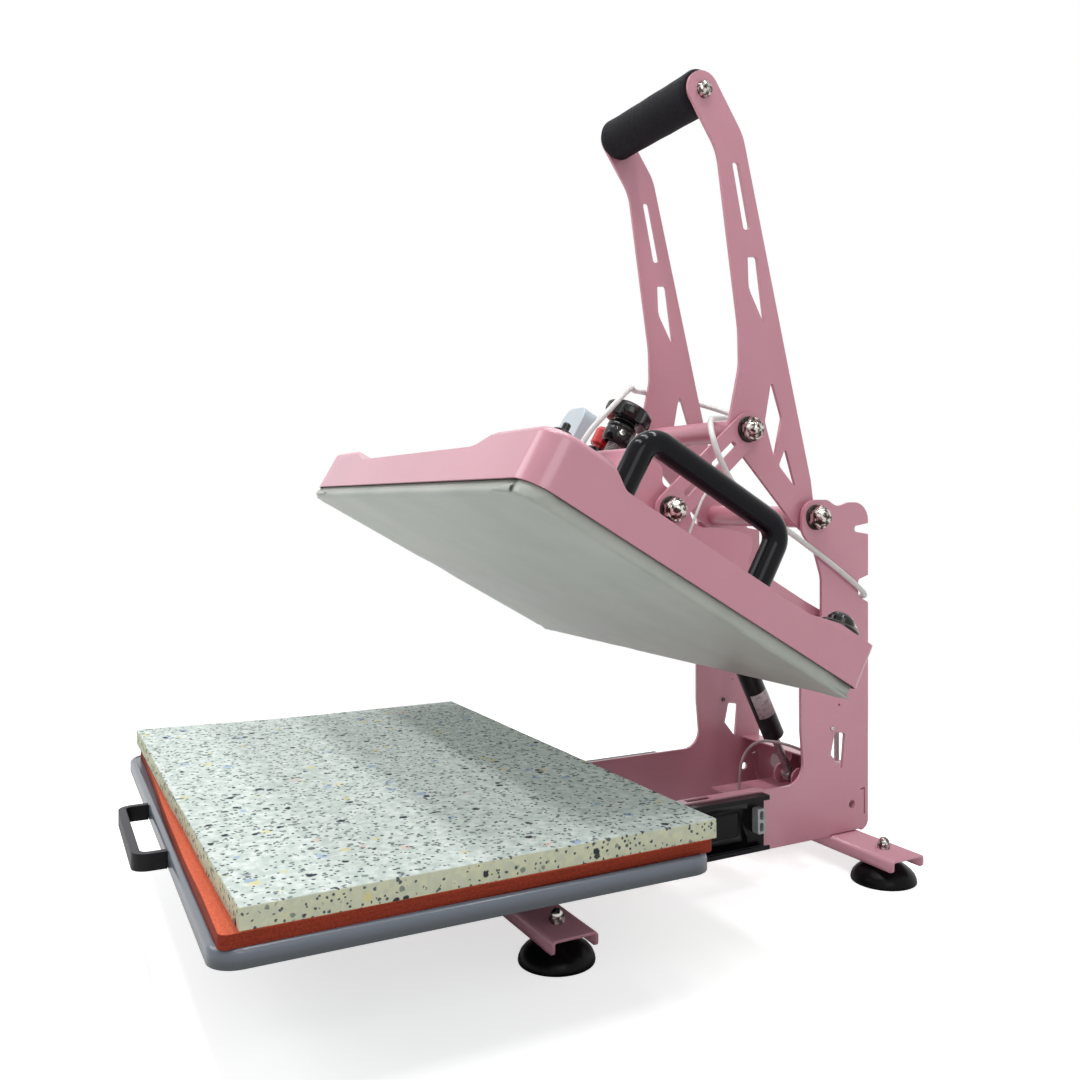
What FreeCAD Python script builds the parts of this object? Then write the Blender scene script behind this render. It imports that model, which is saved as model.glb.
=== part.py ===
import FreeCAD, Part
import math
import os
import Sketcher

# Clamshell heat press with a slide-out lower drawer, standing on four suction feet.
# Millimetres, +Z up, +X to the user's right, -Y to the front; the origin is on the
# floor, under the middle of the overall box. The press is drawn as it stands open.

V = FreeCAD.Vector
doc = FreeCAD.newDocument("HeatPress")
sheet = doc.addObject("Spreadsheet::Sheet", "Dims")
NODES = []
row = 0


def cell(alias, value, note):
    """One driving dimension: its name, its value and what it sizes."""
    global row
    row += 1
    sheet.set(f"A{row}", note)
    sheet.set(f"B{row}", str(value))
    sheet.setAlias(f"B{row}", alias)


# Pivots, seen from the side
cell("handle_pivot_y", 325, "handle pivot on the frame")
cell("handle_pivot_z", 412, "handle pivot height")
cell("main_pivot_y", 366, "hinge of the upper platen")
cell("main_pivot_z", 270, "hinge height")
cell("toggle", 138, "length of each toggle bar, pivot to pivot")
cell("open_tilt", 29.5, "angle of the open platen, degrees")
cell("toggle_u", -284.77, "link pivot from the hinge, along the platen")
cell("toggle_v", 13.3, "link pivot above the hinge, square to the platen")
# Frame
cell("plate_inner", 100, "inner face of the side plates from the middle")
cell("plate_thick", 4, "side plate sheet")
cell("plate_front", -170, "front end of the base arms")
cell("plate_rear", 408, "rear edge of the uprights")
cell("plate_bottom", 36, "underside of the side plates")
cell("arm_top", 104, "top of the base arms")
cell("frame_lug", 20.5, "lug around the handle pivot")
cell("beam_half", 201, "half length of the foot beams")
cell("beam_width", 48, "foot beam width")
cell("beam_depth", 14, "foot beam channel depth")
cell("beam_sheet", 3, "foot beam sheet")
cell("front_beam_y", -50, "front foot beam")
cell("rear_beam_y", 371.5, "rear foot beam")
cell("foot_x", 165, "suction cup from the middle")
cell("cup_radius", 36, "suction cup lip radius")
# Handle, links and carrier, from the middle outward
cell("carrier_inner", 84, "inner face of the carrier flanges")
cell("carrier_thick", 4, "carrier sheet")
cell("arm_inner", 90, "inner face of the handle arms")
cell("arm_thick", 4, "handle arm sheet")
cell("link_inner", 95, "inner face of the links")
cell("link_thick", 4, "link sheet")
cell("link_width", 38, "link width")
cell("grip_y", 171.5, "grip axis")
cell("grip_z", 885, "grip axis height")
cell("grip_radius", 25, "foam grip radius")
cell("tube_radius", 13, "cross tubes of the handle")
cell("pin_radius", 6, "link and handle pins")
cell("shaft_radius", 10, "main hinge shaft")
cell("running_fit", 0.05, "radial clearance of pins in their holes")
# Upper platen, measured along and square to the plate from the main hinge
cell("platen_width", 600, "heated face across")
cell("platen_depth", 400, "heated face front to back")
cell("platen_front_u", -531.6, "front edge of the heated face")
cell("platen_face_v", -112, "heated face")
cell("heater_thick", 17, "heated casting")
cell("cover_over", 8, "cover beyond the heated face in front and on each side")
cell("cover_over_rear", 3, "cover beyond the heated face behind")
cell("cover_skirt_v", -102, "lower edge of the cover")
cell("cover_top_v", -64, "cover top between the corners")
cell("cover_corner_rise", 15.5, "raised corners of the cover")
cell("cover_sheet", 1.5, "cover sheet")
cell("handle_bar_x", 262, "side handles from the middle")
cell("side_tube_radius", 10.8, "side handle tube")
# Lower drawer
cell("pad_front", -365.5, "front edge of the foam pad")
cell("pad_bottom", 142.2, "underside of the foam pad")
cell("pad_top", 156.4, "top of the foam pad")
cell("silicone_shift", -7.3, "silicone sheet from the foam pad")
cell("silicone_bottom", 128.5, "underside of the silicone sheet")
cell("tray_bottom", 115, "underside of the tray")
cell("tray_top", 129.2, "rim of the tray")
cell("tray_rim", 6, "tray beyond the silicone sheet")
cell("tray_sheet", 2, "tray sheet")
cell("drawer_travel", 200, "how far the drawer is pulled out")
cell("rail_height", 61, "drawer slide height")
cell("rail_bottom", 41, "underside of the drawer slides")
cell("rail_length", 400, "drawer slide length")
cell("rail_rear", 245.5, "rear end of the fixed slide members")
cell("pull_half", 81, "half width of the drawer pull")
cell("pull_centre", -8, "middle of the drawer pull")
cell("tray_turn", -1, "how far the loosely guided tray stands askew, degrees")
cell("pull_front", -407, "front of the drawer pull")
# Pressure adjustment and controls
cell("stud_radius", 8, "threaded pressure stud")
cell("knob_radius", 29, "pressure knob over its lobes")
cell("gas_radius", 13.5, "gas spring cylinder")
cell("gas_rod_radius", 5, "gas spring rod")
doc.recompute()


def dim(alias):
    """The value of a driving dimension."""
    return float(sheet.get(alias))


def node(obj, label):
    """Names a finished piece and lists it for export."""
    obj.Label = label
    NODES.append(obj)
    return obj


def bind(obj, **links):
    """Ties properties to the sheet: bind(box, Length='Dims.rail_length')."""
    for prop, rule in links.items():
        obj.setExpression(prop.replace("__", "."), rule)
    return obj


# Places that pieces hang on


def on_platen(obj, x_rule=None):
    """Seats a piece drawn from the main hinge, with the platen level, onto the open platen."""
    obj.Placement = FreeCAD.Placement(V(0, 0, 0), FreeCAD.Rotation(V(-1, 0, 0), dim("open_tilt")))
    bind(obj, Placement__Base__y="Dims.main_pivot_y", Placement__Base__z="Dims.main_pivot_z",
         Placement__Rotation__Angle="Dims.open_tilt * 1 deg")
    if x_rule:
        bind(obj, Placement__Base__x=x_rule)
    return obj


def on_handle(obj, x_rule=None):
    """Seats a piece drawn from the handle pivot."""
    bind(obj, Placement__Base__y="Dims.handle_pivot_y", Placement__Base__z="Dims.handle_pivot_z")
    if x_rule:
        bind(obj, Placement__Base__x=x_rule)
    return obj


def mirror_x(inner, thick):
    """Rules for the two like plates of a pair: right one, then left one."""
    return {"right": f"Dims.{inner}", "left": f"-Dims.{inner} - Dims.{thick}"}


def turned(y, z, degrees):
    """A side-view point turned about the origin."""
    a = math.radians(degrees)
    return y * math.cos(a) - z * math.sin(a), y * math.sin(a) + z * math.cos(a)


# Sketches and features


def new_body(name):
    return doc.addObject("PartDesign::Body", name)


def sketch_on(body, role, name, offset=0):
    """A sketch on one of the body's own origin planes, moved along its normal."""
    plane = [p for p in body.Origin.OriginFeatures if p.Role == role][0]
    sketch = body.newObject("Sketcher::SketchObject", name)
    sketch.AttachmentSupport = [(plane, "")]
    sketch.MapMode = "FlatFace"
    sketch.AttachmentOffset = FreeCAD.Placement(V(0, 0, offset), FreeCAD.Rotation())
    return sketch


def outline(sketch, corners):
    """A closed outline of straight runs; each corner is (a, b, radius)."""
    count = len(corners)
    ends = []
    for i, (a, b, radius) in enumerate(corners):
        here = V(a, b, 0)
        before = V(*corners[i - 1][:2], 0) - here
        after = V(*corners[(i + 1) % count][:2], 0) - here
        before.normalize()
        after.normalize()
        half = before.getAngle(after) / 2
        if radius <= 0 or half > math.pi / 2 - 1e-4:
            ends.append((here, None, here))
            continue
        reach = radius / math.tan(half)
        middle = (before + after).normalize()
        centre = here + middle * (radius / math.sin(half))
        ends.append((here + before * reach, centre - middle * radius, here + after * reach))
    for i, (enter, via, leave) in enumerate(ends):
        following = V(*corners[(i + 1) % count][:2], 0) - V(*corners[i][:2], 0)
        if (ends[(i + 1) % count][0] - leave).dot(following) < -1e-6:
            print("corners too round beside", corners[i], "in", sketch.Label)
        if via is not None:
            sketch.addGeometry(Part.Arc(enter, via, leave), False)
        following = ends[(i + 1) % count][0]
        if leave.distanceToPoint(following) > 1e-6:
            sketch.addGeometry(Part.LineSegment(leave, following), False)


def circle(sketch, a, b, radius_rule, radius):
    """A round hole or disc whose radius follows the sheet."""
    index = sketch.addGeometry(Part.Circle(V(a, b, 0), V(0, 0, 1), radius), False)
    constraint = sketch.addConstraint(Sketcher.Constraint("Radius", index, radius))
    sketch.setExpression(f"Constraints[{constraint}]", radius_rule)


def pad(body, sketch, length_rule, both_ways=False, flip=False):
    feature = body.newObject("PartDesign::Pad", "Pad")
    feature.Profile = sketch
    if both_ways:
        feature.SideType = "Symmetric"
    feature.Reversed = flip
    bind(feature, Length=length_rule)
    return feature


def pocket(body, sketch, length_rule, both_ways=False, flip=False):
    feature = body.newObject("PartDesign::Pocket", "Pocket")
    feature.Profile = sketch
    if both_ways:
        feature.SideType = "Symmetric"
    feature.Reversed = flip
    bind(feature, Length=length_rule)
    return feature


def side_profile(name, corners, thick_rule, holes=(), cutouts=()):
    """A flat plate cut to a side-view outline, with round holes and shaped cut-outs."""
    body = new_body(name)
    sketch = sketch_on(body, "YZ_Plane", name + "_outline")
    outline(sketch, corners)
    for a, b, rule, radius in holes:
        circle(sketch, a, b, rule, radius)
    for shape in cutouts:
        outline(sketch, shape)
    pad(body, sketch, thick_rule)
    return body


def cylinder(radius_rule, height_rule, place, turn=(V(0, 0, 1), 0)):
    part = doc.addObject("Part::Cylinder", "Cylinder")
    bind(part, Radius=radius_rule, Height=height_rule)
    part.Placement = FreeCAD.Placement(V(*place), FreeCAD.Rotation(*turn))
    return part


ALONG_X = (V(0, 1, 0), 90)


def fuse(pieces, name):
    result = doc.addObject("Part::MultiFuse", name)
    result.Shapes = pieces
    return result


def cut(base, tool, name):
    result = doc.addObject("Part::Cut", name)
    result.Base = base
    result.Tool = tool
    return result


def together(pieces, name):
    """Like pieces that are bought and fitted as a set, kept as separate solids."""
    result = doc.addObject("Part::Compound", name)
    result.Links = pieces
    return result


def solid(shape, name):
    """A piece whose form is made directly from the sheet's values."""
    feature = doc.addObject("Part::Feature", name)
    feature.Shape = shape
    return feature


def group(shapes, name):
    """Like small pieces kept as separate solids of one node."""
    return solid(Part.makeCompound(shapes), name)


def revolve(points, axis_point, axis, name=None):
    """Turned form: (radius, height) points about a vertical axis, then laid along axis."""
    ring = [V(r, 0, h) for r, h in points]
    wire = Part.makePolygon(ring + [ring[0]])
    shape = Part.Face(wire).revolve(V(0, 0, 0), V(0, 0, 1), 360)
    shape.Placement = FreeCAD.Placement(V(*axis_point), FreeCAD.Rotation(V(0, 0, 1), V(*axis)))
    return shape


def hexagon(corner_radius):
    """A flat hexagon about the origin, sized over its corners."""
    return Part.Face(Part.makePolygon([V(*turned(corner_radius, 0, 60 * i), 0) for i in range(7)]))


def acorn_nut(point, axis, across, height):
    """Domed cap nut: a hexagon with chamfered corners, a crown and a flat washer face."""
    prism = hexagon(across / math.sqrt(3)).extrude(V(0, 0, height * 0.5))
    crown_radius = across * 0.46
    bevel = Part.makeCone(across * 0.75, across * 0.5, height * 0.58)
    body = prism.common(bevel)
    dome = Part.makeSphere(crown_radius, V(0, 0, height - crown_radius), V(0, 0, 1), 0, 90, 360)
    barrel = Part.makeCylinder(crown_radius, height - crown_radius)
    shape = body.fuse([barrel, dome]).removeSplitter()
    shape.Placement = FreeCAD.Placement(V(*point), FreeCAD.Rotation(V(0, 0, 1), V(*axis)))
    return shape


def tube_path(points, radius):
    """Wire through the points with each corner rounded as widely as its runs allow."""
    runs = [V(*p) for p in points]
    edges = []
    at = runs[0]
    for i in range(1, len(runs) - 1):
        back = runs[i - 1] - runs[i]
        ahead = runs[i + 1] - runs[i]
        reach = 0.45 * min(back.Length, ahead.Length)
        back.normalize()
        ahead.normalize()
        half = back.getAngle(ahead) / 2
        bend = reach * math.tan(half)
        middle = (back + ahead).normalize()
        via = runs[i] + middle * (bend / math.sin(half) - bend)
        enter = runs[i] + back * reach
        leave = runs[i] + ahead * reach
        edges.append(Part.LineSegment(at, enter).toShape())
        edges.append(Part.Arc(enter, via, leave).toShape())
        print(f"cable bend radius {bend:.1f}")
        at = leave
    edges.append(Part.LineSegment(at, runs[-1]).toShape())
    wire = Part.Wire(edges)
    start = (runs[1] - runs[0]).normalize()
    profile = Part.Wire(Part.makeCircle(radius, runs[0], start))
    tube = wire.makePipeShell([profile], True, False)
    if tube.Volume < 0:
        tube = tube.reversed()
    fullness = tube.Volume / (math.pi * radius ** 2 * wire.Length)
    print(f"cable length {wire.Length:.0f}, volume ratio {fullness:.4f}")
    return tube


# Frame: side plates

PIVOT_Y, PIVOT_Z = dim("handle_pivot_y"), dim("handle_pivot_z")
HINGE_Y, HINGE_Z = dim("main_pivot_y"), dim("main_pivot_z")
REAR, BOTTOM = dim("plate_rear"), dim("plate_bottom")
LUG = dim("frame_lug")

plate_outline = [
    (dim("plate_front"), BOTTOM, 8), (REAR, BOTTOM, 12),
    # two slots for cables in the rear edge
    (REAR, 309, 1.5), (REAR - 16, 317, 4), (REAR - 16, 337, 4), (REAR, 342, 1.5),
    (REAR, 391.2, 1.5), (REAR - 22, 394.5, 3), (REAR - 22, 401, 3), (REAR, 404.5, 1.5),
    # rounded horn, shallow dip and the lug of the handle pivot
    (REAR, 429.5, 22), (376, 429.5, 12), (358, 424, 18), (343, PIVOT_Z + LUG, 12),
    (PIVOT_Y - LUG, PIVOT_Z + LUG, LUG), (PIVOT_Y - LUG, PIVOT_Z - 18, 18), (PIVOT_Y - 1, PIVOT_Z - 40, 16),
    # neck behind the open platen, upright and the round throat above the base arm
    (334.5, 342, 30), (334.5, 290, 40), (303, 232, 40), (303, 165, 60), (308.5, 103.5, 23),
    (dim("plate_front"), dim("arm_top"), 8),
]
trapezoid = [(348.5, 132, 2), (354.5, 158, 2.5), (371, 155, 3), (366.5, 111, 1.5)]
plate_holes = [
    (PIVOT_Y, PIVOT_Z, "Dims.pin_radius + 0.02", 6.02),
    (HINGE_Y, HINGE_Z, "Dims.shaft_radius + 0.02", 10.02),
    (382, 69, "4.8", 4.8),
    (361.5, 189.5, "1.6", 1.6),
]
slit = [(401.2, 54.5, 0.7), (402.8, 54.5, 0.7), (402.8, 87, 0.7), (395.5, 85.5, 0.6), (395.5, 84, 0.6),
        (401.2, 85.2, 0)]
for side, rule in mirror_x("plate_inner", "plate_thick").items():
    plate = side_profile(f"side_plate_{side}", plate_outline, "Dims.plate_thick", plate_holes,
                         [trapezoid, slit])
    # relief for the foot beams in the lower edge
    relief = sketch_on(plate, "YZ_Plane", "beam_relief")
    for beam in ("front_beam_y", "rear_beam_y"):
        y = dim(beam)
        half = dim("beam_width") / 2 + 1
        outline(relief, [(y - half, BOTTOM - 1, 0), (y + half, BOTTOM - 1, 0),
                         (y + half, BOTTOM + 2, 0.9), (y - half, BOTTOM + 2, 0.9)])
    pocket(plate, relief, "Dims.plate_thick", flip=True)
    bind(plate, Placement__Base__x=rule)
    node(plate, f"side_plate_{side}")

# Frame: folded panels that tie the side plates together

rear_panel = new_body("rear_panel")
fold = sketch_on(rear_panel, "YZ_Plane", "panel_fold")
PANEL_TOP = 110
outline(fold, [(REAR - 38, BOTTOM + 8, 0), (REAR - 2, BOTTOM + 8, 3), (REAR - 2, PANEL_TOP, 3),
               (REAR - 30, PANEL_TOP, 0), (REAR - 30, PANEL_TOP - 2, 0), (REAR - 4, PANEL_TOP - 2, 1),
               (REAR - 4, BOTTOM + 10, 1), (REAR - 38, BOTTOM + 10, 0)])
pad(rear_panel, fold, "2 * Dims.plate_inner", both_ways=True)
opening = sketch_on(rear_panel, "XZ_Plane", "panel_holes", -REAR)
circle(opening, -58, 82, "8.1", 8.1)
pocket(rear_panel, opening, "8", flip=True)
node(rear_panel, "rear_panel")

floor_tab = new_body("floor_tab")
plan = sketch_on(floor_tab, "XY_Plane", "tab_plan", 60)
outline(plan, [(-58, 294, 3), (58, 294, 3), (58, REAR - 4, 0), (-58, REAR - 4, 0)])
pad(floor_tab, plan, "2")

ledge = new_body("cable_ledge")
fold = sketch_on(ledge, "XZ_Plane", "ledge_fold")
outline(fold, [(73, 98, 0), (73, 96, 0), (98, 96, 1), (98, 70, 0), (100, 70, 0), (100, 98, 2)])
pad(ledge, fold, "212", flip=True)
plan = sketch_on(ledge, "XY_Plane", "ledge_slot", 98)
outline(plan, [(75.5, 107, 2), (86, 107, 2), (86, 139, 2), (75.5, 139, 2)])
pocket(ledge, plan, "2")
ledge.Placement = FreeCAD.Placement(V(0, 50, 0), FreeCAD.Rotation())

front_panel = new_body("front_panel")
fold = sketch_on(front_panel, "YZ_Plane", "front_fold")
outline(fold, [(-120, 98, 0), (-164, 98, 4), (-164, 44, 4), (-120, 44, 0), (-120, 46, 0),
               (-162, 46, 2), (-162, 96, 2), (-120, 96, 0)])
pad(front_panel, fold, "2 * Dims.plate_inner", both_ways=True)
node(together([floor_tab, ledge, front_panel], "base_panels"), "base_panels")

# Frame: foot beams and suction feet

for name, rule in (("front_foot_beam", "Dims.front_beam_y"), ("rear_foot_beam", "Dims.rear_beam_y")):
    beam = new_body(name)
    section = sketch_on(beam, "YZ_Plane", name + "_section")
    half = dim("beam_width") / 2
    deep = dim("beam_depth")
    sheet_t = dim("beam_sheet")
    outline(section, [(-half, -deep, 0), (-half, 0, 4), (half, 0, 4), (half, -deep, 0),
                      (half - sheet_t, -deep, 0), (half - sheet_t, -sheet_t, 1),
                      (sheet_t - half, -sheet_t, 1), (sheet_t - half, -deep, 0)])
    pad(beam, section, "2 * Dims.beam_half", both_ways=True)
    holes = sketch_on(beam, "XY_Plane", name + "_holes")
    for x in (-dim("foot_x"), dim("foot_x")):
        circle(holes, x, 0, "4.1", 4.1)
    pocket(beam, holes, "Dims.beam_sheet")
    bind(beam, Placement__Base__y=rule, Placement__Base__z="Dims.plate_bottom")
    node(beam, name)

UNDER_BEAM = BOTTOM - dim("beam_sheet")
cup_profile = [
    (0, 8), (14, 7), (26, 3.5), (33, 0), (36, 0), (36, 1.6), (31, 5), (24, 10),
    (15, 14.5), (11, 17), (11, UNDER_BEAM), (0, UNDER_BEAM),
]
scale = dim("cup_radius") / 36
nuts = []
for end in ("front", "rear"):
    cups = []
    for x in (dim("foot_x"), -dim("foot_x")):
        y = dim(f"{end}_beam_y")
        cups.append(revolve([(r * scale, h) for r, h in cup_profile], (x, y, 0), (0, 0, 1)))
        stud = Part.makeCylinder(4, BOTTOM - UNDER_BEAM, V(x, y, UNDER_BEAM))
        nuts.append(acorn_nut((x, y, BOTTOM), (0, 0, 1), 13, 13).fuse(stud))
    node(group(cups, f"suction_cups_{end}"), f"suction_cups_{end}")
node(group(nuts, "foot_nuts"), "foot_nuts")

# Frame: pivots, shafts and the gas spring's lower bracket

def cross_pins(name, y, z, start, profile):
    """Turned pins along X, one per side: profile gives (radius, distance from start)."""
    return group([revolve(profile, (sx * start, y, z), (sx, 0, 0)) for sx in (1, -1)], name)


PLATE_OUT = dim("plate_inner") + dim("plate_thick")
ARM_OUT = dim("arm_inner") + dim("arm_thick")
LINK_OUT = dim("link_inner") + dim("link_thick")
PIN = dim("pin_radius")
GAP = dim("plate_inner") - ARM_OUT

# shoulder pin: its end stops at the pivot tube, its collar fills the gap between arm and plate
pin_start = dim("arm_inner") + 0.3
node(cross_pins("handle_pivot_pins", PIVOT_Y, PIVOT_Z, pin_start, [
    (0, 0), (PIN, 0), (PIN, ARM_OUT + 0.3 - pin_start), (11, ARM_OUT + 0.3 - pin_start),
    (11, ARM_OUT + GAP - pin_start), (PIN, ARM_OUT + GAP - pin_start), (PIN, PLATE_OUT - pin_start),
    (0, PLATE_OUT - pin_start)]), "handle_pivot_pins")


WASHER = 2


def cap_nuts(name, y, z, start):
    """A cap nut on a dark washer at each end of a pivot."""
    pieces = []
    for sx in (1, -1):
        pieces.append(revolve([(0, 0), (14.8, 0), (14.8, 1.3), (14.2, WASHER), (0, WASHER)],
                              (sx * start, y, z), (sx, 0, 0)))
        pieces.append(acorn_nut((sx * (start + WASHER), y, z), (sx, 0, 0), 24, 20))
    return node(group(pieces, name), name)


cap_nuts("handle_pivot_nuts", PIVOT_Y, PIVOT_Z, PLATE_OUT)

shaft = cylinder("Dims.shaft_radius", "2 * (Dims.plate_inner + Dims.plate_thick) + 8",
                 (-PLATE_OUT - 4, HINGE_Y, HINGE_Z), ALONG_X)
node(shaft, "main_shaft")

GAS_LOW = (377, 80)
GAS_HIGH_ON_PLATEN = (-84.6, -35.2)
BRACKET_IN, BRACKET_OUT = 15, 18
bracket_outline = [(392, 105, 2), (392, 93, 6), (364, 93, 13), (364, 67, 13), (REAR - 4, 67, 0),
                   (REAR - 4, 105, 0)]
cheeks = []
for sx in (1, -1):
    cheek = side_profile("bracket_cheek", bracket_outline, "3")
    bind(cheek, Placement__Base__x=str(BRACKET_IN) if sx > 0 else str(-BRACKET_OUT))
    cheeks.append(cheek)
bolt = cylinder("5", str(2 * BRACKET_OUT), (-BRACKET_OUT, *GAS_LOW), ALONG_X)
node(fuse(cheeks + [bolt], "gas_spring_bracket"), "gas_spring_bracket")

# Frame: plug in the rear panel

plug = solid(revolve([(0, 0), (11, 0), (11, 2), (9, 4), (0, 4)], (-58, REAR - 4, 82), (0, -1, 0))
             .fuse(Part.makeCylinder(8, 4, V(-58, REAR - 4, 82), V(0, 1, 0))), "rear_plug")
node(plug, "rear_plug")

# Drawer slides: fixed outer members, floating middle members, inner members under the tray

RAIL_Z = dim("rail_bottom")
RAIL_H = dim("rail_height")


def slide_section(body_name, corners, length_rule, x, y):
    """A rolled slide member: an XZ section run along Y; x may be mirrored."""
    body = new_body(body_name)
    sketch = sketch_on(body, "XZ_Plane", body_name + "_section")
    outline(sketch, corners)
    pad(body, sketch, length_rule, flip=True)
    body.Placement = FreeCAD.Placement(V(x, y, RAIL_Z), FreeCAD.Rotation())
    return body


outer_c = [(0, 0, 0), (13, 0, 1), (13, 5, 0), (11, 5, 0), (11, 2, 0.5), (2.5, 2, 1), (2.5, RAIL_H - 2, 1),
           (11, RAIL_H - 2, 0.5), (11, RAIL_H - 5, 0), (13, RAIL_H - 5, 0), (13, RAIL_H, 1), (0, RAIL_H, 0)]
middle_c = [(3.2, 5.6, 1), (17, 5.6, 1), (17, 12, 0), (15, 12, 0), (15, 7.6, 0.5), (5.2, 7.6, 1),
            (5.2, RAIL_H - 7.6, 1), (15, RAIL_H - 7.6, 0.5), (15, RAIL_H - 12, 0), (17, RAIL_H - 12, 0),
            (17, RAIL_H - 5.6, 1), (3.2, RAIL_H - 5.6, 1)]
inner_c = [(7, 13, 0), (19, 13, 2), (19, RAIL_H - 13, 2), (7, RAIL_H - 13, 0), (7, RAIL_H - 15, 0),
           (17, RAIL_H - 15, 1), (17, 15, 1), (7, 15, 0)]
travel = dim("drawer_travel")
rear = dim("rail_rear")
length = dim("rail_length")


def slide_members(name, section, shift, length_rule="Dims.rail_length"):
    """The right and left members of one stage, moved forward by shift."""
    pair_of = []
    for sx in (1, -1):
        corners = [(sx * a, b, r) for a, b, r in section][::sx]
        pair_of.append(slide_section("slide", corners, length_rule, sx * (PLATE_OUT + 0.05),
                                     rear - length - shift))
    node(together(pair_of, name), name)


slide_members("slide_outer", outer_c, 0)
slide_members("slide_middle", middle_c, travel / 2, "Dims.rail_length - 18")
slide_members("slide_inner", inner_c, travel, "Dims.rail_length - 18")

STOP_MIDDLE = rear - 11


def stop_shape(half_deep, low, high, radius):
    """A rounded upright rectangle about the middle of the slide stops."""
    front, back = STOP_MIDDLE - half_deep, STOP_MIDDLE + half_deep
    return [(front, low, radius), (back, low, radius), (back, high, radius), (front, high, radius)]


stops = []
for sx in (1, -1):
    stop = side_profile("slide_stop", stop_shape(5.5, 60, 88, 2), "10",
                        cutouts=[stop_shape(2.5, low, low + 10, 2.4) for low in (62.5, 75.5)])
    bind(stop, Placement__Base__x=f"{PLATE_OUT + 2.6}" if sx > 0 else f"{-PLATE_OUT - 12.6}")
    stops.append(stop)
node(together(stops, "slide_stops"), "slide_stops")

# Drawer: brackets, tray, pull and the two pads

PAD_FRONT = dim("pad_front")
SILICONE_FRONT = PAD_FRONT + dim("silicone_shift")
PW = dim("platen_width") / 2
PD = dim("platen_depth")


def rounded_box(name, x_half, y0, y1, radius, height_rule, z_rule, top_round=0):
    """A plate with rounded corners in plan, set at a height."""
    body = new_body(name)
    sketch = sketch_on(body, "XY_Plane", name + "_plan")
    outline(sketch, [(-x_half, y0, radius), (x_half, y0, radius),
                     (x_half, y1, radius), (-x_half, y1, radius)])
    feature = pad(body, sketch, height_rule)
    if top_round:
        doc.recompute()
        round_over(body, feature, top_round)
    bind(body, Placement__Base__z=z_rule)
    return body


def round_over(body, feature, radius, top=True):
    """Rounds the edges of the top or bottom face."""
    faces = feature.Shape.Faces
    pick = max if top else min
    index = pick(range(len(faces)), key=lambda i: faces[i].CenterOfMass.z)
    fillet = body.newObject("PartDesign::Fillet", "Fillet")
    fillet.Base = (feature, [f"Face{index + 1}"])
    fillet.Radius = radius
    return fillet


drawer_frame = []
for sx in (1, -1):
    bracket = new_body("drawer_bracket")
    section = sketch_on(bracket, "XZ_Plane", "bracket_section")
    x = PLATE_OUT + 19.1
    top = dim("tray_bottom")
    corners = [(sx * x, 54, 0), (sx * (x + 3), 54, 0), (sx * (x + 3), top - 3, 2),
               (sx * (x + 42), top - 3, 0), (sx * (x + 42), top, 0), (sx * x, top, 3)]
    outline(section, corners[::sx])
    pad(bracket, section, "360", flip=True)
    bracket.Placement = FreeCAD.Placement(V(0, SILICONE_FRONT + 20, 0), FreeCAD.Rotation())
    drawer_frame.append(bracket)



def askew(body):
    """Turns a piece of the tray about the tray's middle; the slides guide it loosely."""
    middle = SILICONE_FRONT + PD / 2
    x, y = turned(0, middle, dim("tray_turn"))
    body.Placement.Rotation = FreeCAD.Rotation(V(0, 0, 1), dim("tray_turn"))
    body.Placement.Base.x = -x
    body.Placement.Base.y = middle - y
    return body


rim = dim("tray_rim")
tray = rounded_box("tray", PW + rim, SILICONE_FRONT - rim, SILICONE_FRONT + PD + rim, 22,
                   "Dims.tray_top - Dims.tray_bottom", "Dims.tray_bottom")
doc.recompute()
round_over(tray, tray.Tip, 5)
inside = sketch_on(tray, "XY_Plane", "pad_seat", dim("tray_top") - dim("tray_bottom"))
seat = PW + 0.3
outline(inside, [(-seat, SILICONE_FRONT - 0.3, 15.3), (seat, SILICONE_FRONT - 0.3, 15.3),
                 (seat, SILICONE_FRONT + PD + 0.3, 15.3), (-seat, SILICONE_FRONT + PD + 0.3, 15.3)])
pocket(tray, inside, "Dims.tray_top - Dims.silicone_bottom")
below = sketch_on(tray, "XY_Plane", "tray_underside")
wall = PW + rim - dim("tray_sheet")
outline(below, [(-wall, SILICONE_FRONT - rim + 2, 20), (wall, SILICONE_FRONT - rim + 2, 20),
                (wall, SILICONE_FRONT + PD + rim - 2, 20), (-wall, SILICONE_FRONT + PD + rim - 2, 20)])
pocket(tray, below, "Dims.silicone_bottom - Dims.tray_bottom - Dims.tray_sheet", flip=True)
node(askew(tray), "tray")

# stiffening channels under the tray carry it on the brackets
for y in (SILICONE_FRONT + 60, SILICONE_FRONT + PD / 2, SILICONE_FRONT + PD - 60):
    channel = doc.addObject("Part::Box", "Rib")
    bind(channel, Length="2 * Dims.platen_width / 2 - 40", Width="30",
         Height="Dims.silicone_bottom - Dims.tray_bottom - Dims.tray_sheet")
    hollow = doc.addObject("Part::Box", "RibHollow")
    bind(hollow, Length="2 * Dims.platen_width / 2 - 40", Width="26",
         Height="Dims.silicone_bottom - Dims.tray_bottom - Dims.tray_sheet - 2")
    channel.Placement.Base = V(20 - PW, y - 15, dim("tray_bottom"))
    hollow.Placement.Base = V(20 - PW, y - 13, dim("tray_bottom") + 2)
    drawer_frame.append(cut(channel, hollow, "Channel"))
node(together(drawer_frame, "drawer_frame"), "drawer_frame")

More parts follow.
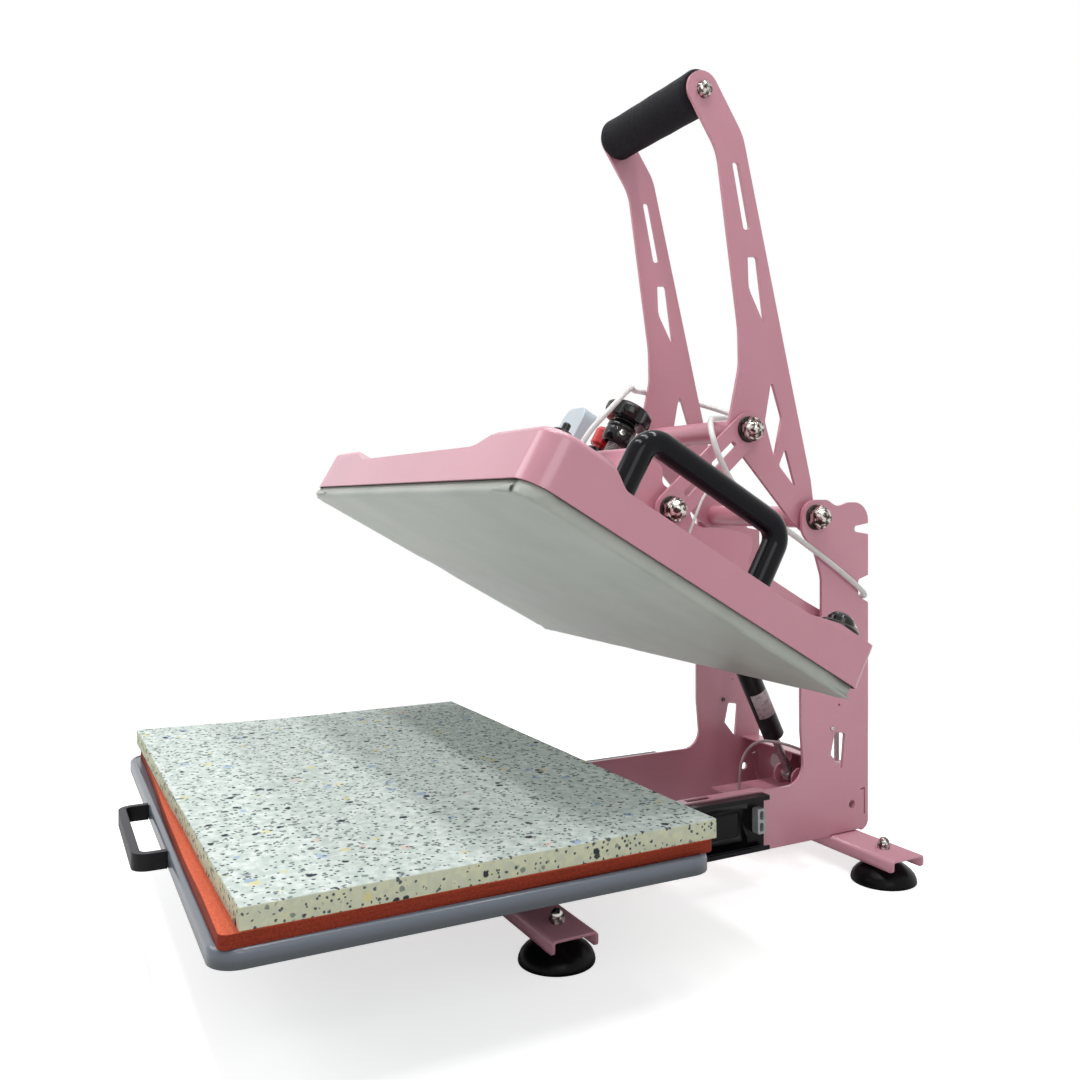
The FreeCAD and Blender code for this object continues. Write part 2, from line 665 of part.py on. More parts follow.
silicone = rounded_box("silicone_sheet", PW, SILICONE_FRONT, SILICONE_FRONT + PD, 15,
                       "Dims.pad_bottom - Dims.silicone_bottom", "Dims.silicone_bottom", 1.2)
node(askew(silicone), "silicone_sheet")
foam = rounded_box("foam_pad", PW, PAD_FRONT, PAD_FRONT + PD, 4,
                   "Dims.pad_top - Dims.pad_bottom", "Dims.pad_bottom", 0.8)
node(foam, "foam_pad")

pull = new_body("drawer_pull")
plan = sketch_on(pull, "XY_Plane", "pull_plan")
back = SILICONE_FRONT - rim - 0.05
left, right = dim("pull_centre") - dim("pull_half"), dim("pull_centre") + dim("pull_half")
front = dim("pull_front")
bar = 7
outline(plan, [(left, back, 0), (left, front, 14), (right, front, 14), (right, back, 0),
               (right - bar, back, 0), (right - bar, front + bar, 7), (left + bar, front + bar, 7),
               (left + bar, back, 0)])
pad(pull, plan, "15")
bind(pull, Placement__Base__z="Dims.tray_bottom - 1.5")
node(askew(pull), "drawer_pull")

# Upper platen: heated casting, wrap sheet and the pressed cover


def platen(d, n):
    """(u, v) from the hinge of a point d behind the front edge and n above the heated face."""
    return d + dim("platen_front_u"), n + dim("platen_face_v")


FRONT_U = dim("platen_front_u")
WRAP = 1.5
WRAP_HIGH = 10
wrap = rounded_box("wrap_sheet", PW, FRONT_U, FRONT_U + PD, 10, str(WRAP_HIGH), "0")
hollow = sketch_on(wrap, "XY_Plane", "wrap_inside", WRAP_HIGH)
inner = PW - WRAP
inner_front, inner_back = FRONT_U + WRAP, FRONT_U + PD - WRAP
outline(hollow, [(-inner, inner_front, 8.5), (inner, inner_front, 8.5), (inner, inner_back, 8.5),
                 (-inner, inner_back, 8.5)])
pocket(wrap, hollow, str(WRAP_HIGH - WRAP))


TILT = dim("open_tilt")


def tilted(point):
    """Placement at a point, leaning back with the open platen."""
    return FreeCAD.Placement(point, FreeCAD.Rotation(V(-1, 0, 0), TILT))


def platen_point(x, d, n):
    """World point of a place on the open platen."""
    y, z = turned(*platen(d, n), -TILT)
    return V(x, HINGE_Y + y, HINGE_Z + z)


def lift_on_platen(body, n):
    """Seats a piece drawn in plan on the platen, its base n above the heated face."""
    body.setExpression("Placement.Base.z", None)
    body.Placement = tilted(platen_point(0, -FRONT_U, n))
    return body


node(lift_on_platen(wrap, 0), "wrap_sheet")

heater = rounded_box("casting_body", inner, inner_front, inner_back, 8.5, "Dims.heater_thick - 1.5", "0",
                     WRAP)
lift_on_platen(heater, WRAP)

over = dim("cover_over")
skirt = dim("cover_skirt_v") - dim("platen_face_v")
top_n = dim("cover_top_v") - dim("platen_face_v")
rise = dim("cover_corner_rise")
REAR_RISE = 9
CW = PW + over
FRONT_CORNER, REAR_CORNER, COVER_EDGE = 28, 9, 7
cover_rear = FRONT_U + PD + dim("cover_over_rear")


def cover_blank(name, less, height_rule, edge):
    """A block in the cover's plan, wide round corners in front and tight ones behind."""
    body = new_body(name)
    sketch = sketch_on(body, "XY_Plane", name + "_plan")
    half, front, back = CW - less, FRONT_U - over + less, cover_rear - less
    outline(sketch, [(-half, front, FRONT_CORNER - less), (half, front, FRONT_CORNER - less),
                     (half, back, REAR_CORNER - less), (-half, back, REAR_CORNER - less)])
    feature = pad(body, sketch, height_rule)
    doc.recompute()
    round_over(body, feature, edge)
    return body


SKIN = dim("cover_sheet")
cover_low = cover_blank("cover_low", 0, "Dims.cover_top_v - Dims.cover_skirt_v", COVER_EDGE)
cover_high = cover_blank("cover_high", 0, "Dims.cover_top_v - Dims.cover_skirt_v + Dims.cover_corner_rise",
                         COVER_EDGE)
doc.recompute()
deep = top_n - skirt
dip_along = sketch_on(cover_high, "YZ_Plane", "side_dip")
outline(dip_along, [(FRONT_U + 52, deep + rise, 0), (FRONT_U + 76, deep - 0.01, 12),
                    (FRONT_U + 300, deep - 0.01, 40), (FRONT_U + 336, deep + REAR_RISE, 30),
                    (cover_rear + 5, deep + REAR_RISE, 0), (cover_rear + 5, deep + rise, 0)])
pocket(cover_high, dip_along, "2 * Dims.platen_width", both_ways=True)
dip_across = sketch_on(cover_high, "XZ_Plane", "front_dip")
outline(dip_across, [(-208, deep + rise, 0), (-164, deep - 0.01, 50), (164, deep - 0.01, 50),
                     (208, deep + rise, 0)])
pocket(cover_high, dip_across, "4 * Dims.platen_depth", both_ways=True)
cover_core = cover_blank("cover_core", SKIN, "Dims.cover_top_v - Dims.cover_skirt_v - Dims.cover_sheet",
                         COVER_EDGE - SKIN)
for blank in (cover_low, cover_high, cover_core):
    lift_on_platen(blank, skirt)
cover = cut(fuse([cover_low, cover_high], "cover_blank"), cover_core, "cover")
node(cover, "platen_cover")

up = (0, *turned(0, 1, -TILT))
studs = []
for x in (-200, 200):
    for d in (110, 290):
        height = top_n - SKIN - dim("heater_thick")
        studs.append(Part.makeCylinder(8, height, platen_point(x, d, dim("heater_thick")), V(*up)))
node(together([heater, group(studs, "casting_studs")], "heated_casting"), "heated_casting")

# Carrier: two cut flanges, base plate, bridge and cross bar

LINK_U, LINK_V = dim("toggle_u"), dim("toggle_v")
FLANGE_OUT = dim("carrier_inner") + dim("carrier_thick")
BRIDGE_N = 165
BRIDGE_D = 200
BUTTON_X = -34
link_lug = 22
hinge_lug = 19


def on_plate(*corners):
    """Outline corners given as (d, n, radius) on the platen."""
    return [(*platen(d, n), radius) for d, n, radius in corners]


link_n = LINK_V - dim("platen_face_v")
link_d = LINK_U - FRONT_U
hinge_d, hinge_n = -FRONT_U, -dim("platen_face_v")
gas_d, gas_n = (at - start for at, start in zip(GAS_HIGH_ON_PLATEN, platen(0, 0)))
gas_lug = 13
flange_outline = on_plate(
    (178, top_n + 3, 4), (178, BRIDGE_N, 14), (222, BRIDGE_N, 12), (link_d - 18, link_n + link_lug, 8),
    (link_d + 20, link_n + link_lug, 18), (290, 127, 20), (326, 146, 30), (372, 161, 13), (375, 127, 8),
    (hinge_d - 60, 128, 60), (hinge_d - 6, hinge_n + hinge_lug, 8),
    (hinge_d + hinge_lug, hinge_n + hinge_lug, hinge_lug),
    (hinge_d + hinge_lug, hinge_n - hinge_lug, hinge_lug), (hinge_d - 34, hinge_n - hinge_lug, 14),
    # lug for the gas spring's cross pin, behind the cover
    (gas_d + gas_lug, gas_n - gas_lug, gas_lug), (gas_d - gas_lug, gas_n - gas_lug, gas_lug),
    (384, top_n + 3, 12))
flange_holes = [
    (0, 0, "Dims.shaft_radius + Dims.running_fit", 10.05),
    (*GAS_HIGH_ON_PLATEN, "4.5", 4.5),
]
for side, rule in mirror_x("carrier_inner", "carrier_thick").items():
    flange = side_profile(f"carrier_flange_{side}", flange_outline, "Dims.carrier_thick", flange_holes)
    node(on_platen(flange, rule), f"carrier_flange_{side}")


def across_platen(name, corners, width_rule):
    """A folded sheet spanning the carrier: (d, n, radius) section run along X."""
    body = new_body(name)
    sketch = sketch_on(body, "YZ_Plane", name + "_fold")
    outline(sketch, on_plate(*corners))
    pad(body, sketch, width_rule, both_ways=True)
    return body


base_plate = across_platen("carrier_base", [
    (176, top_n, 0), (386, top_n, 0), (386, top_n + 3, 1), (176, top_n + 3, 1)],
    "2 * (Dims.carrier_inner + Dims.carrier_thick)")
node(on_platen(base_plate), "carrier_base")

bridge = across_platen("carrier_bridge", [
    (178, BRIDGE_N - 34, 0), (178, BRIDGE_N, 6), (222, BRIDGE_N, 6), (222, BRIDGE_N - 34, 0),
    (218, BRIDGE_N - 34, 0), (218, BRIDGE_N - 4, 2), (182, BRIDGE_N - 4, 2), (182, BRIDGE_N - 34, 0)],
    "2 * Dims.carrier_inner")
bore = sketch_on(bridge, "XY_Plane", "stud_hole", dim("platen_face_v") + BRIDGE_N)
circle(bore, 0, platen(BRIDGE_D, 0)[0], "Dims.stud_radius + 3", 11)
circle(bore, BUTTON_X, platen(BRIDGE_D, 0)[0], "8.3", 8.3)
pocket(bridge, bore, "6")
node(on_platen(bridge), "carrier_bridge")

cross_bar = cylinder("10", "2 * Dims.carrier_inner", platen_point(-dim("carrier_inner"), 351, 142), ALONG_X)

# pin of the gas spring: thick toward the flanges, thin through the spring's eye
reach = dim("carrier_inner")
eye_pin = revolve([(0, -reach), (9, -reach), (9, -20), (5, -20), (5, 20), (9, 20), (9, reach), (0, reach)],
                  platen_point(0, gas_d, gas_n), (1, 0, 0))
node(together([cross_bar, solid(eye_pin, "eye_pin")], "carrier_cross_members"), "carrier_cross_members")

# Side handles: one bent tube each, standing on the cover

FOOT_GAP = 0.02


for side, sx in (("right", 1), ("left", -1)):
    handle = new_body(f"side_handle_{side}")
    spine = sketch_on(handle, "YZ_Plane", "handle_spine")
    foot_d, far_d, bar_n, bend = 91, 267, 114, 29
    a, low = platen(foot_d, top_n + FOOT_GAP)
    b, high = platen(far_d, bar_n)
    turn = bend * (1 - math.sqrt(0.5))
    spine.addGeometry(Part.LineSegment(V(a, low, 0), V(a, high - bend, 0)), False)
    near = Part.Arc(V(a, high - bend, 0), V(a + turn, high - turn, 0), V(a + bend, high, 0))
    far = Part.Arc(V(b - bend, high, 0), V(b - turn, high - turn, 0), V(b, high - bend, 0))
    spine.addGeometry(near, False)
    spine.addGeometry(Part.LineSegment(V(a + bend, high, 0), V(b - bend, high, 0)), False)
    spine.addGeometry(far, False)
    spine.addGeometry(Part.LineSegment(V(b, high - bend, 0), V(b, low, 0)), False)
    section = sketch_on(handle, "XY_Plane", "handle_section", low)
    circle(section, 0, a, "Dims.side_tube_radius", dim("side_tube_radius"))
    doc.recompute()
    pipe = handle.newObject("PartDesign::AdditivePipe", "Pipe")
    pipe.Profile = section
    pipe.Spine = (spine, [f"Edge{i + 1}" for i in range(5)])
    on_platen(handle, "Dims.handle_bar_x" if sx > 0 else "-Dims.handle_bar_x")
    node(handle, f"side_handle_{side}")

# Small fittings on the cover: corner screws and the cable gland

fitting = revolve([(0, 0), (9, 0), (9, 2.4), (8, 3.2), (3.4, 3.2), (3.4, 10), (2.6, 11), (0, 11)],
                  platen_point(286, 12, top_n + rise), up)
node(solid(fitting, "corner_fitting"), "corner_fitting")

gland = revolve([(0, 0), (20.5, 0), (20.5, 5), (19, 6.5), (13.5, 7), (13.5, 12), (12, 15), (9, 17.5),
                 (4, 19), (0, 19)], platen_point(281, 361, top_n + REAR_RISE), up)
node(solid(gland, "cable_gland"), "cable_gland")

# Pressure stud, its nut under the bridge and the lobed knob

NUT_HIGH = 22
nut = hexagon(18).extrude(V(0, 0, NUT_HIGH))
nut = nut.cut(Part.makeCylinder(dim("stud_radius") + dim("running_fit"), NUT_HIGH))
nut.Placement = tilted(platen_point(0, BRIDGE_D, BRIDGE_N - 4 - NUT_HIGH))
node(solid(nut, "stud_nut"), "stud_nut")

KNOB_N = 185
STUD_FOOT = top_n + 3.4
stud = revolve([(0, 0), (13, 0), (13, 6), (dim("stud_radius"), 8), (dim("stud_radius"), KNOB_N - STUD_FOOT),
                (0, KNOB_N - STUD_FOOT)], platen_point(0, BRIDGE_D, STUD_FOOT), up)
node(solid(stud, "pressure_stud"), "pressure_stud")

knob = new_body("pressure_knob")
turning = sketch_on(knob, "XZ_Plane", "knob_profile")
# ball-like hub under a flat lobed head
head_radius = dim("knob_radius")
outline(turning, [(0, 0, 0), (11, 0, 4), (15.4, 12, 11), (12.8, 29, 1.5), (head_radius - 3, 29, 3),
                  (head_radius, 34, 4), (head_radius, 43, 5), (head_radius - 7, 48, 4), (0, 48, 0)])
whole = knob.newObject("PartDesign::Revolution", "Revolution")
whole.Profile = turning
whole.ReferenceAxis = (turning, ["V_Axis"])
whole.Angle = 360
LOBES = 6
flute = sketch_on(knob, "XY_Plane", "knob_flute", 25)
circle(flute, head_radius + 8.5, 0, "13", 13)
groove = pocket(knob, flute, "40", flip=True)
lobes = knob.newObject("PartDesign::PolarPattern", "Lobes")
lobes.Originals = [groove]
lobes.Axis = (turning, ["V_Axis"])
lobes.Angle = 360
lobes.Occurrences = LOBES
knob.Tip = lobes
knob.Placement = tilted(platen_point(0, BRIDGE_D, KNOB_N))
node(knob, "pressure_knob")

# Red stop button on the bridge

button_seat = platen_point(BUTTON_X, BRIDGE_D, BRIDGE_N)
collar = revolve([(8.2, 0), (14, 0), (14, 3), (11.5, 4.5), (11.5, 13.5), (8.2, 13.5)], button_seat, up)
node(solid(collar, "stop_button_collar"), "stop_button_collar")
mushroom = revolve([(0, -10), (8, -10), (8, 18.5), (11, 18.5), (12, 20), (12, 37), (10, 40.5), (5, 42),
                    (0, 42.4)], button_seat, up)
node(solid(mushroom, "stop_button"), "stop_button")

# Controller: an upright housing with a display and three keys

controller = new_body("controller_housing")
face = sketch_on(controller, "XZ_Plane", "housing_face")
HOUSING_HALF, HOUSING_TOP, HOUSING_FRONT, HOUSING_DEEP = 24, 148, 138, 18
outline(face, [(-HOUSING_HALF, 0, 0), (HOUSING_HALF, 0, 0), (HOUSING_HALF, HOUSING_TOP, 15),
               (-HOUSING_HALF, HOUSING_TOP, 15)])
shell = pad(controller, face, str(HOUSING_DEEP), flip=True)
doc.recompute()
edges = controller.newObject("PartDesign::Fillet", "SoftFront")
front_face = min(range(len(shell.Shape.Faces)), key=lambda i: shell.Shape.Faces[i].CenterOfMass.y)
edges.Base = (shell, [f"Face{front_face + 1}"])
edges.Radius = 1.6
PANE_LOW, PANE_HIGH = 48, 92
window = sketch_on(controller, "XZ_Plane", "display_window")
outline(window, [(-18, PANE_LOW, 1.5), (18, PANE_LOW, 1.5), (18, PANE_HIGH, 1.5), (-18, PANE_HIGH, 1.5)])
pocket(controller, window, "1.5")
KEYS_N = 30
key_wells = sketch_on(controller, "XZ_Plane", "key_wells")
KEY_X = (-13, 0, 13)
for x in KEY_X:
    circle(key_wells, x, KEYS_N, "5.2", 5.2)
pocket(controller, key_wells, "5")
controller.Placement = tilted(platen_point(0, HOUSING_FRONT, top_n))
node(controller, "controller_housing")

glass = new_body("controller_display")
pane = sketch_on(glass, "XZ_Plane", "display_pane")
outline(pane, [(-17.9, PANE_LOW + 0.1, 1.4), (17.9, PANE_LOW + 0.1, 1.4), (17.9, PANE_HIGH - 0.1, 1.4),
               (-17.9, PANE_HIGH - 0.1, 1.4)])
pad(glass, pane, "1", flip=True)
glass.Placement = tilted(platen_point(0, HOUSING_FRONT + 0.5, top_n))
node(glass, "controller_display")

toward_user = (0, *turned(-1, 0, -TILT))
for name, x in zip(("key_down", "key_set", "key_up"), KEY_X):
    cap = revolve([(0, 0), (4.9, 0), (4.9, 5), (4, 5.8), (0, 6)],
                  platen_point(x, HOUSING_FRONT + 4, top_n + KEYS_N), toward_user)
    node(solid(cap, name), name)

# Lever: slotted arms, grip, rod, knee tube and pins

TOGGLE = dim("toggle")
GRIP_Y, GRIP_Z = dim("grip_y"), dim("grip_z")


def knee():
    """Where the links meet the arms: one toggle length from both outer pivots."""
    y, z = turned(LINK_U, LINK_V, -TILT)
    low_y, low_z = HINGE_Y + y, HINGE_Z + z
    span = math.hypot(PIVOT_Y - low_y, PIVOT_Z - low_z)
    height = math.sqrt(TOGGLE ** 2 - span ** 2 / 4)
    along_y, along_z = (PIVOT_Y - low_y) / span, (PIVOT_Z - low_z) / span
    return ((PIVOT_Y + low_y) / 2 - along_z * height, (PIVOT_Z + low_z) / 2 + along_y * height, low_y, low_z)


KNEE_Y, KNEE_Z, LOW_Y, LOW_Z = knee()
print("knee", round(KNEE_Y, 2), round(KNEE_Z, 2), "link foot", round(LOW_Y, 2), round(LOW_Z, 2))


def from_pivot(*corners):
    """Side-view corners counted from the handle pivot."""
    return [(y - PIVOT_Y, z - PIVOT_Z, radius) for y, z, radius in corners]


arm_outline = from_pivot(
    # rounded end around the grip rod
    (GRIP_Y - 29.3, GRIP_Z + 5.1, 21), (GRIP_Y + 5.1, GRIP_Z + 29.3, 21),
    # rear edge, the pivot lug, the chin and the knee lug
    (226, 844, 60), (296, 571, 400), (326.4, 455, 8), (330, 431, 6), (PIVOT_Y + 19, PIVOT_Z + 12, 12),
    (PIVOT_Y + 19, PIVOT_Z - 19, 19),
    (PIVOT_Y - 8, PIVOT_Z - 19, 12), (298, 407, 20), (KNEE_Y - 22.5, KNEE_Z - 9.7, 22.5),
    # swelling behind the knee and the long front edge
    (207, 520, 20), (221.5, 584, 60), (220.5, 625, 120), (190.5, 821, 60))
slots = [
    # narrow slot under the bend
    from_pivot((210.5, 811, 3.5), (219.3, 813, 3.5), (236, 740, 3.5), (227, 736.5, 3.5)),
    # long leaf, rhombus and the lower cut-outs
    from_pivot((232.6, 707.5, 2), (246, 709, 3), (257.6, 631, 1.2), (234, 672, 30)),
    from_pivot((267.3, 571, 2), (257.5, 522, 9), (271.8, 479, 2), (283, 527, 9)),
    from_pivot((288, 493, 2), (278, 472, 5), (304, 445.5, 1.2)),
]
arm_holes = [
    (0, 0, "Dims.pin_radius + Dims.running_fit", 6.05),
    (GRIP_Y - PIVOT_Y, GRIP_Z - PIVOT_Z, "5.02", 5.02),
    (KNEE_Y - PIVOT_Y, KNEE_Z - PIVOT_Z, "Dims.pin_radius + 0.02", 6.02),
]
for side, rule in mirror_x("arm_inner", "arm_thick").items():
    arm = side_profile(f"handle_arm_{side}", arm_outline, "Dims.arm_thick", arm_holes, slots)
    node(on_handle(arm, rule), f"handle_arm_{side}")

grip_core = dim("arm_inner") - 0.5
grip_r = dim("grip_radius")
grip = revolve([(5.02, -grip_core), (grip_r - 2, -grip_core), (grip_r, 3 - grip_core),
                (grip_r, grip_core - 3), (grip_r - 2, grip_core), (5.02, grip_core)],
               (0, GRIP_Y, GRIP_Z), (1, 0, 0))
node(solid(grip, "foam_grip"), "foam_grip")
# the rod ends in pan heads with a cross recess
head = [(5, 0), (9.5, 0), (9.5, 2), (8, 5.5), (4.5, 7.2), (0, 7.6)]
cap_ends = [(radius, ARM_OUT + reach) for radius, reach in head]
rod_profile = [(r, -x) for r, x in cap_ends[::-1]] + cap_ends
rod = revolve(rod_profile, (0, GRIP_Y, GRIP_Z), (1, 0, 0))
for sx in (1, -1):
    end = sx * (ARM_OUT + 6.2)
    for across, high in ((5.5, 0.9), (0.9, 5.5)):
        corner = V(min(end, end + 3 * sx), GRIP_Y - across, GRIP_Z - high)
        rod = rod.cut(Part.makeBox(3, 2 * across, 2 * high, corner))
node(solid(rod, "grip_rod"), "grip_rod")

tube_half = dim("arm_inner")
pivot_tube = revolve([(0, -tube_half), (dim("tube_radius"), -tube_half), (dim("tube_radius"), tube_half),
                      (0, tube_half)], (0, PIVOT_Y, PIVOT_Z), (1, 0, 0))
knee_tube = revolve([(PIN + 3, -tube_half), (dim("tube_radius"), -tube_half), (dim("tube_radius"), tube_half),
                     (PIN + 3, tube_half)], (0, KNEE_Y, KNEE_Z), (1, 0, 0))
pin_from = tube_half - 14
knee_ends = cross_pins("knee_pins", KNEE_Y, KNEE_Z, pin_from, [
    (0, 0), (PIN + 3, 0), (PIN + 3, 13.9), (PIN, 13.9), (PIN, LINK_OUT + 0.3 - pin_from),
    (0, LINK_OUT + 0.3 - pin_from)])
node(together([solid(knee_tube, "knee_sleeve"), solid(pivot_tube, "pivot_tube"), knee_ends], "lever_tubes"),
     "lever_tubes")
cap_nuts("knee_nuts", KNEE_Y, KNEE_Z, LINK_OUT + 0.3)

# Links: slotted bars from the knee down to the carrier

LINK_TURN = math.degrees(math.atan2(KNEE_Z - LOW_Z, KNEE_Y - LOW_Y))
half = dim("link_width") / 2
link_outline = [(half, -half, half), (half, half, half), (-TOGGLE - half, half, half),
                (-TOGGLE - half, -half, half)]
link_slot = [(-24, -4, 3.9), (-24, 4, 3.9), (24 - TOGGLE, 4, 3.9), (24 - TOGGLE, -4, 3.9)]
link_holes = [(0, 0, "Dims.pin_radius + Dims.running_fit", 6.05),
              (-TOGGLE, 0, "Dims.pin_radius + 0.02", 6.02)]
for side, rule in mirror_x("link_inner", "link_thick").items():
    link = side_profile(f"toggle_link_{side}", link_outline, "Dims.link_thick", link_holes, [link_slot])
    link.Placement = FreeCAD.Placement(V(0, KNEE_Y, KNEE_Z), FreeCAD.Rotation(V(1, 0, 0), LINK_TURN))
    bind(link, Placement__Base__x=rule)
    node(link, f"toggle_link_{side}")

foot_start = FLANGE_OUT + 0.5
node(cross_pins("link_foot_pins", LOW_Y, LOW_Z, foot_start, [
    (0, 0), (12, 0), (12, dim("link_inner") - foot_start), (PIN, dim("link_inner") - foot_start),
    (PIN, LINK_OUT - foot_start), (0, LINK_OUT - foot_start)]), "link_foot_pins")
cap_nuts("link_foot_nuts", LOW_Y, LOW_Z, LINK_OUT)

# Gas spring between the rear bracket and the carrier

GAS_HIGH = platen_point(0, gas_d, gas_n)
gas_run = V(0, *GAS_LOW) - GAS_HIGH
print("gas spring", round(gas_run.Length, 1), "long")
gas_axis = V(gas_run).normalize()
CYL_R, ROD_R = dim("gas_radius"), dim("gas_rod_radius")
OPEN_LENGTH = gas_run.Length
CYL_FROM, CYL_TO = 15, 167


def along_gas(reach):
    """A point on the spring's axis, measured down from the upper pivot."""
    return GAS_HIGH + gas_axis * reach


def gas_eye(at, side):
    """Flat-sided eye for a cross pin, with a neck toward the spring."""
    eye = Part.makeCylinder(11, 9, at - V(4.5, 0, 0), V(1, 0, 0))
    neck = Part.makeCylinder(5.5, 16, at, gas_axis * side)
    return eye.fuse(neck).cut(Part.makeCylinder(7.8, 20, at - V(10, 0, 0), V(1, 0, 0)))


barrel = revolve([(0, CYL_FROM), (9, CYL_FROM), (CYL_R, CYL_FROM + 4), (CYL_R, CYL_TO - 3),
                  (CYL_R - 1.5, CYL_TO - 1), (ROD_R + 3, CYL_TO - 1), (ROD_R + 3, CYL_TO),
                  (ROD_R + 0.1, CYL_TO), (ROD_R + 0.1, 52), (0, 52)], GAS_HIGH, gas_axis)
node(solid(barrel.fuse(gas_eye(along_gas(0), 1)), "gas_spring_cylinder"), "gas_spring_cylinder")
ROD_INSIDE = 112
rod_shape = revolve([(0, ROD_INSIDE), (ROD_R, ROD_INSIDE), (ROD_R, OPEN_LENGTH - 12), (0, OPEN_LENGTH - 12)],
                    GAS_HIGH, gas_axis)
low_eye = Part.makeCylinder(9, 12, along_gas(OPEN_LENGTH) - V(6, 0, 0), V(1, 0, 0))
low_eye = low_eye.fuse(Part.makeCylinder(6, 13, along_gas(OPEN_LENGTH - 13), gas_axis))
low_eye = low_eye.cut(Part.makeCylinder(5.05, 30, along_gas(OPEN_LENGTH) - V(15, 0, 0), V(1, 0, 0)))
node(solid(low_eye.fuse(rod_shape), "gas_spring_rod"), "gas_spring_rod")

# Cables: routes of straight runs with rounded corners

MAIN_RADIUS, THIN_RADIUS, INNER_RADIUS = 3.3, 1.6, 1.8
housing_side = platen_point(HOUSING_HALF, HOUSING_FRONT + HOUSING_DEEP / 2, 115)
main_route = [
    # out of the controller and over the knob, round the left arm
    housing_side, housing_side + V(22, 0, 0), (50, 45, 492), (42, 87, 528), (8, 131, 562), (-58, 176, 567),
    (-118, 225, 574), (-118, 312, 564), (-60, 347, 546),
    # over the knee tube and down outside the right link
    (-12, 292, 543), (25, 230, 539), (64, 190, 528), (107, 160, 509), (119, 171, 478), (117, 200, 440),
    # along the right side plate and in through the slot in its rear edge
    (110, 252, 412), (107.8, 339, 362), (108, 385, 331), (106, 404, 317), (92, 404, 316), (76, 399, 300),
    (66, 395, 262), (64, 394, 205), (67, 392.5, 150), (67, 392.5, 112)]
node(solid(tube_path(main_route, MAIN_RADIUS), "main_cable"), "main_cable")

thin_foot = platen_point(110, 273, top_n)
thin_route = [thin_foot, thin_foot + V(*up) * 26, (112, 137, 391), (113, 148, 418), (112, 160, 441),
              (112.5, 183, 459)]
node(solid(tube_path(thin_route, THIN_RADIUS), "heater_cable"), "heater_cable")

inner_route = [(-30, 318, 62), (-30, 318, 90), (-24, 325, 114), (0, 325, 130), (25, 330, 134), (48, 346, 129),
               (57, 374, 113), (60, 388, 86), (60, REAR - 4, 86)]
node(solid(tube_path(inner_route, INNER_RADIUS), "inner_cable"), "inner_cable")

# Check every piece and write it out

doc.recompute()
os.makedirs("parts", exist_ok=True)
faults = 0
for item in doc.Objects:
    if "Invalid" in item.State or "Error" in item.State:
        print("state:", item.Label, item.State)
        faults += 1
    if item.TypeId == "PartDesign::Pocket":
        removed = item.BaseFeature.Shape.Volume - item.Shape.Volume
        if removed < 1:
            print("pocket cuts nothing:", item.Label, item.Profile[0].Label)
            faults += 1
for item in NODES:
    shape = item.Shape
    if shape.isNull() or not shape.isValid() or not shape.Solids:
        print("shape:", item.Label)
        faults += 1
if faults:
    raise RuntimeError(f"{faults} pieces are not sound")
bounds = FreeCAD.BoundBox()
for item in NODES:
    item.Shape.exportStep(f"parts/{item.Label}.step")
    bounds.add(item.Shape.BoundBox)
print(len(NODES), "pieces; X", round(bounds.XMin, 1), round(bounds.XMax, 1), "Y", round(bounds.YMin, 1),
      round(bounds.YMax, 1), "Z", round(bounds.ZMin, 1), round(bounds.ZMax, 1))
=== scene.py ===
import math

import bmesh
import bpy
from mathutils import Matrix, Vector, noise


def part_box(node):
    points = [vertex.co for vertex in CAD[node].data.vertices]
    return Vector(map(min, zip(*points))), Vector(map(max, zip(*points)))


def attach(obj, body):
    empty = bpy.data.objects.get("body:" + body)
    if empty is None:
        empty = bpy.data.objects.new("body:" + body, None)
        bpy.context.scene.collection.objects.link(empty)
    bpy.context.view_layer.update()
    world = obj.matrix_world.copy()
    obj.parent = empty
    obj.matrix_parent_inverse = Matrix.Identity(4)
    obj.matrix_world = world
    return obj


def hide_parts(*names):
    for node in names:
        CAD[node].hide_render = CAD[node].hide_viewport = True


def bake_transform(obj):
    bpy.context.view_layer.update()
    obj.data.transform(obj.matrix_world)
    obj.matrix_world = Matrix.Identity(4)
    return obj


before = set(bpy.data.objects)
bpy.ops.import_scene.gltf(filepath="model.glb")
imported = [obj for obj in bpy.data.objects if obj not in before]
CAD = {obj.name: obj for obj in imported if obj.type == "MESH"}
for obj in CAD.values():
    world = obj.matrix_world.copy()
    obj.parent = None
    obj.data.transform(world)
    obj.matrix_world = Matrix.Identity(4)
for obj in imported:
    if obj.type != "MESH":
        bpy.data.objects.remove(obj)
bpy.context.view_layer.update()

# Side plates: two 4 mm steel sheets, laser-cut and powder-coated in dusky pink. They stand
# upright on the foot beams and carry the main shaft and the pivots of the handle.


def paint(red, green, blue):
    """A colour read off a screen, 0 to 255, turned by the sRGB curve into what the shader wants."""
    return tuple(((c / 255 + 0.055) / 1.055) ** 2.4 if c > 10 else c / 255 / 12.92
                 for c in (red, green, blue)) + (1.0,)


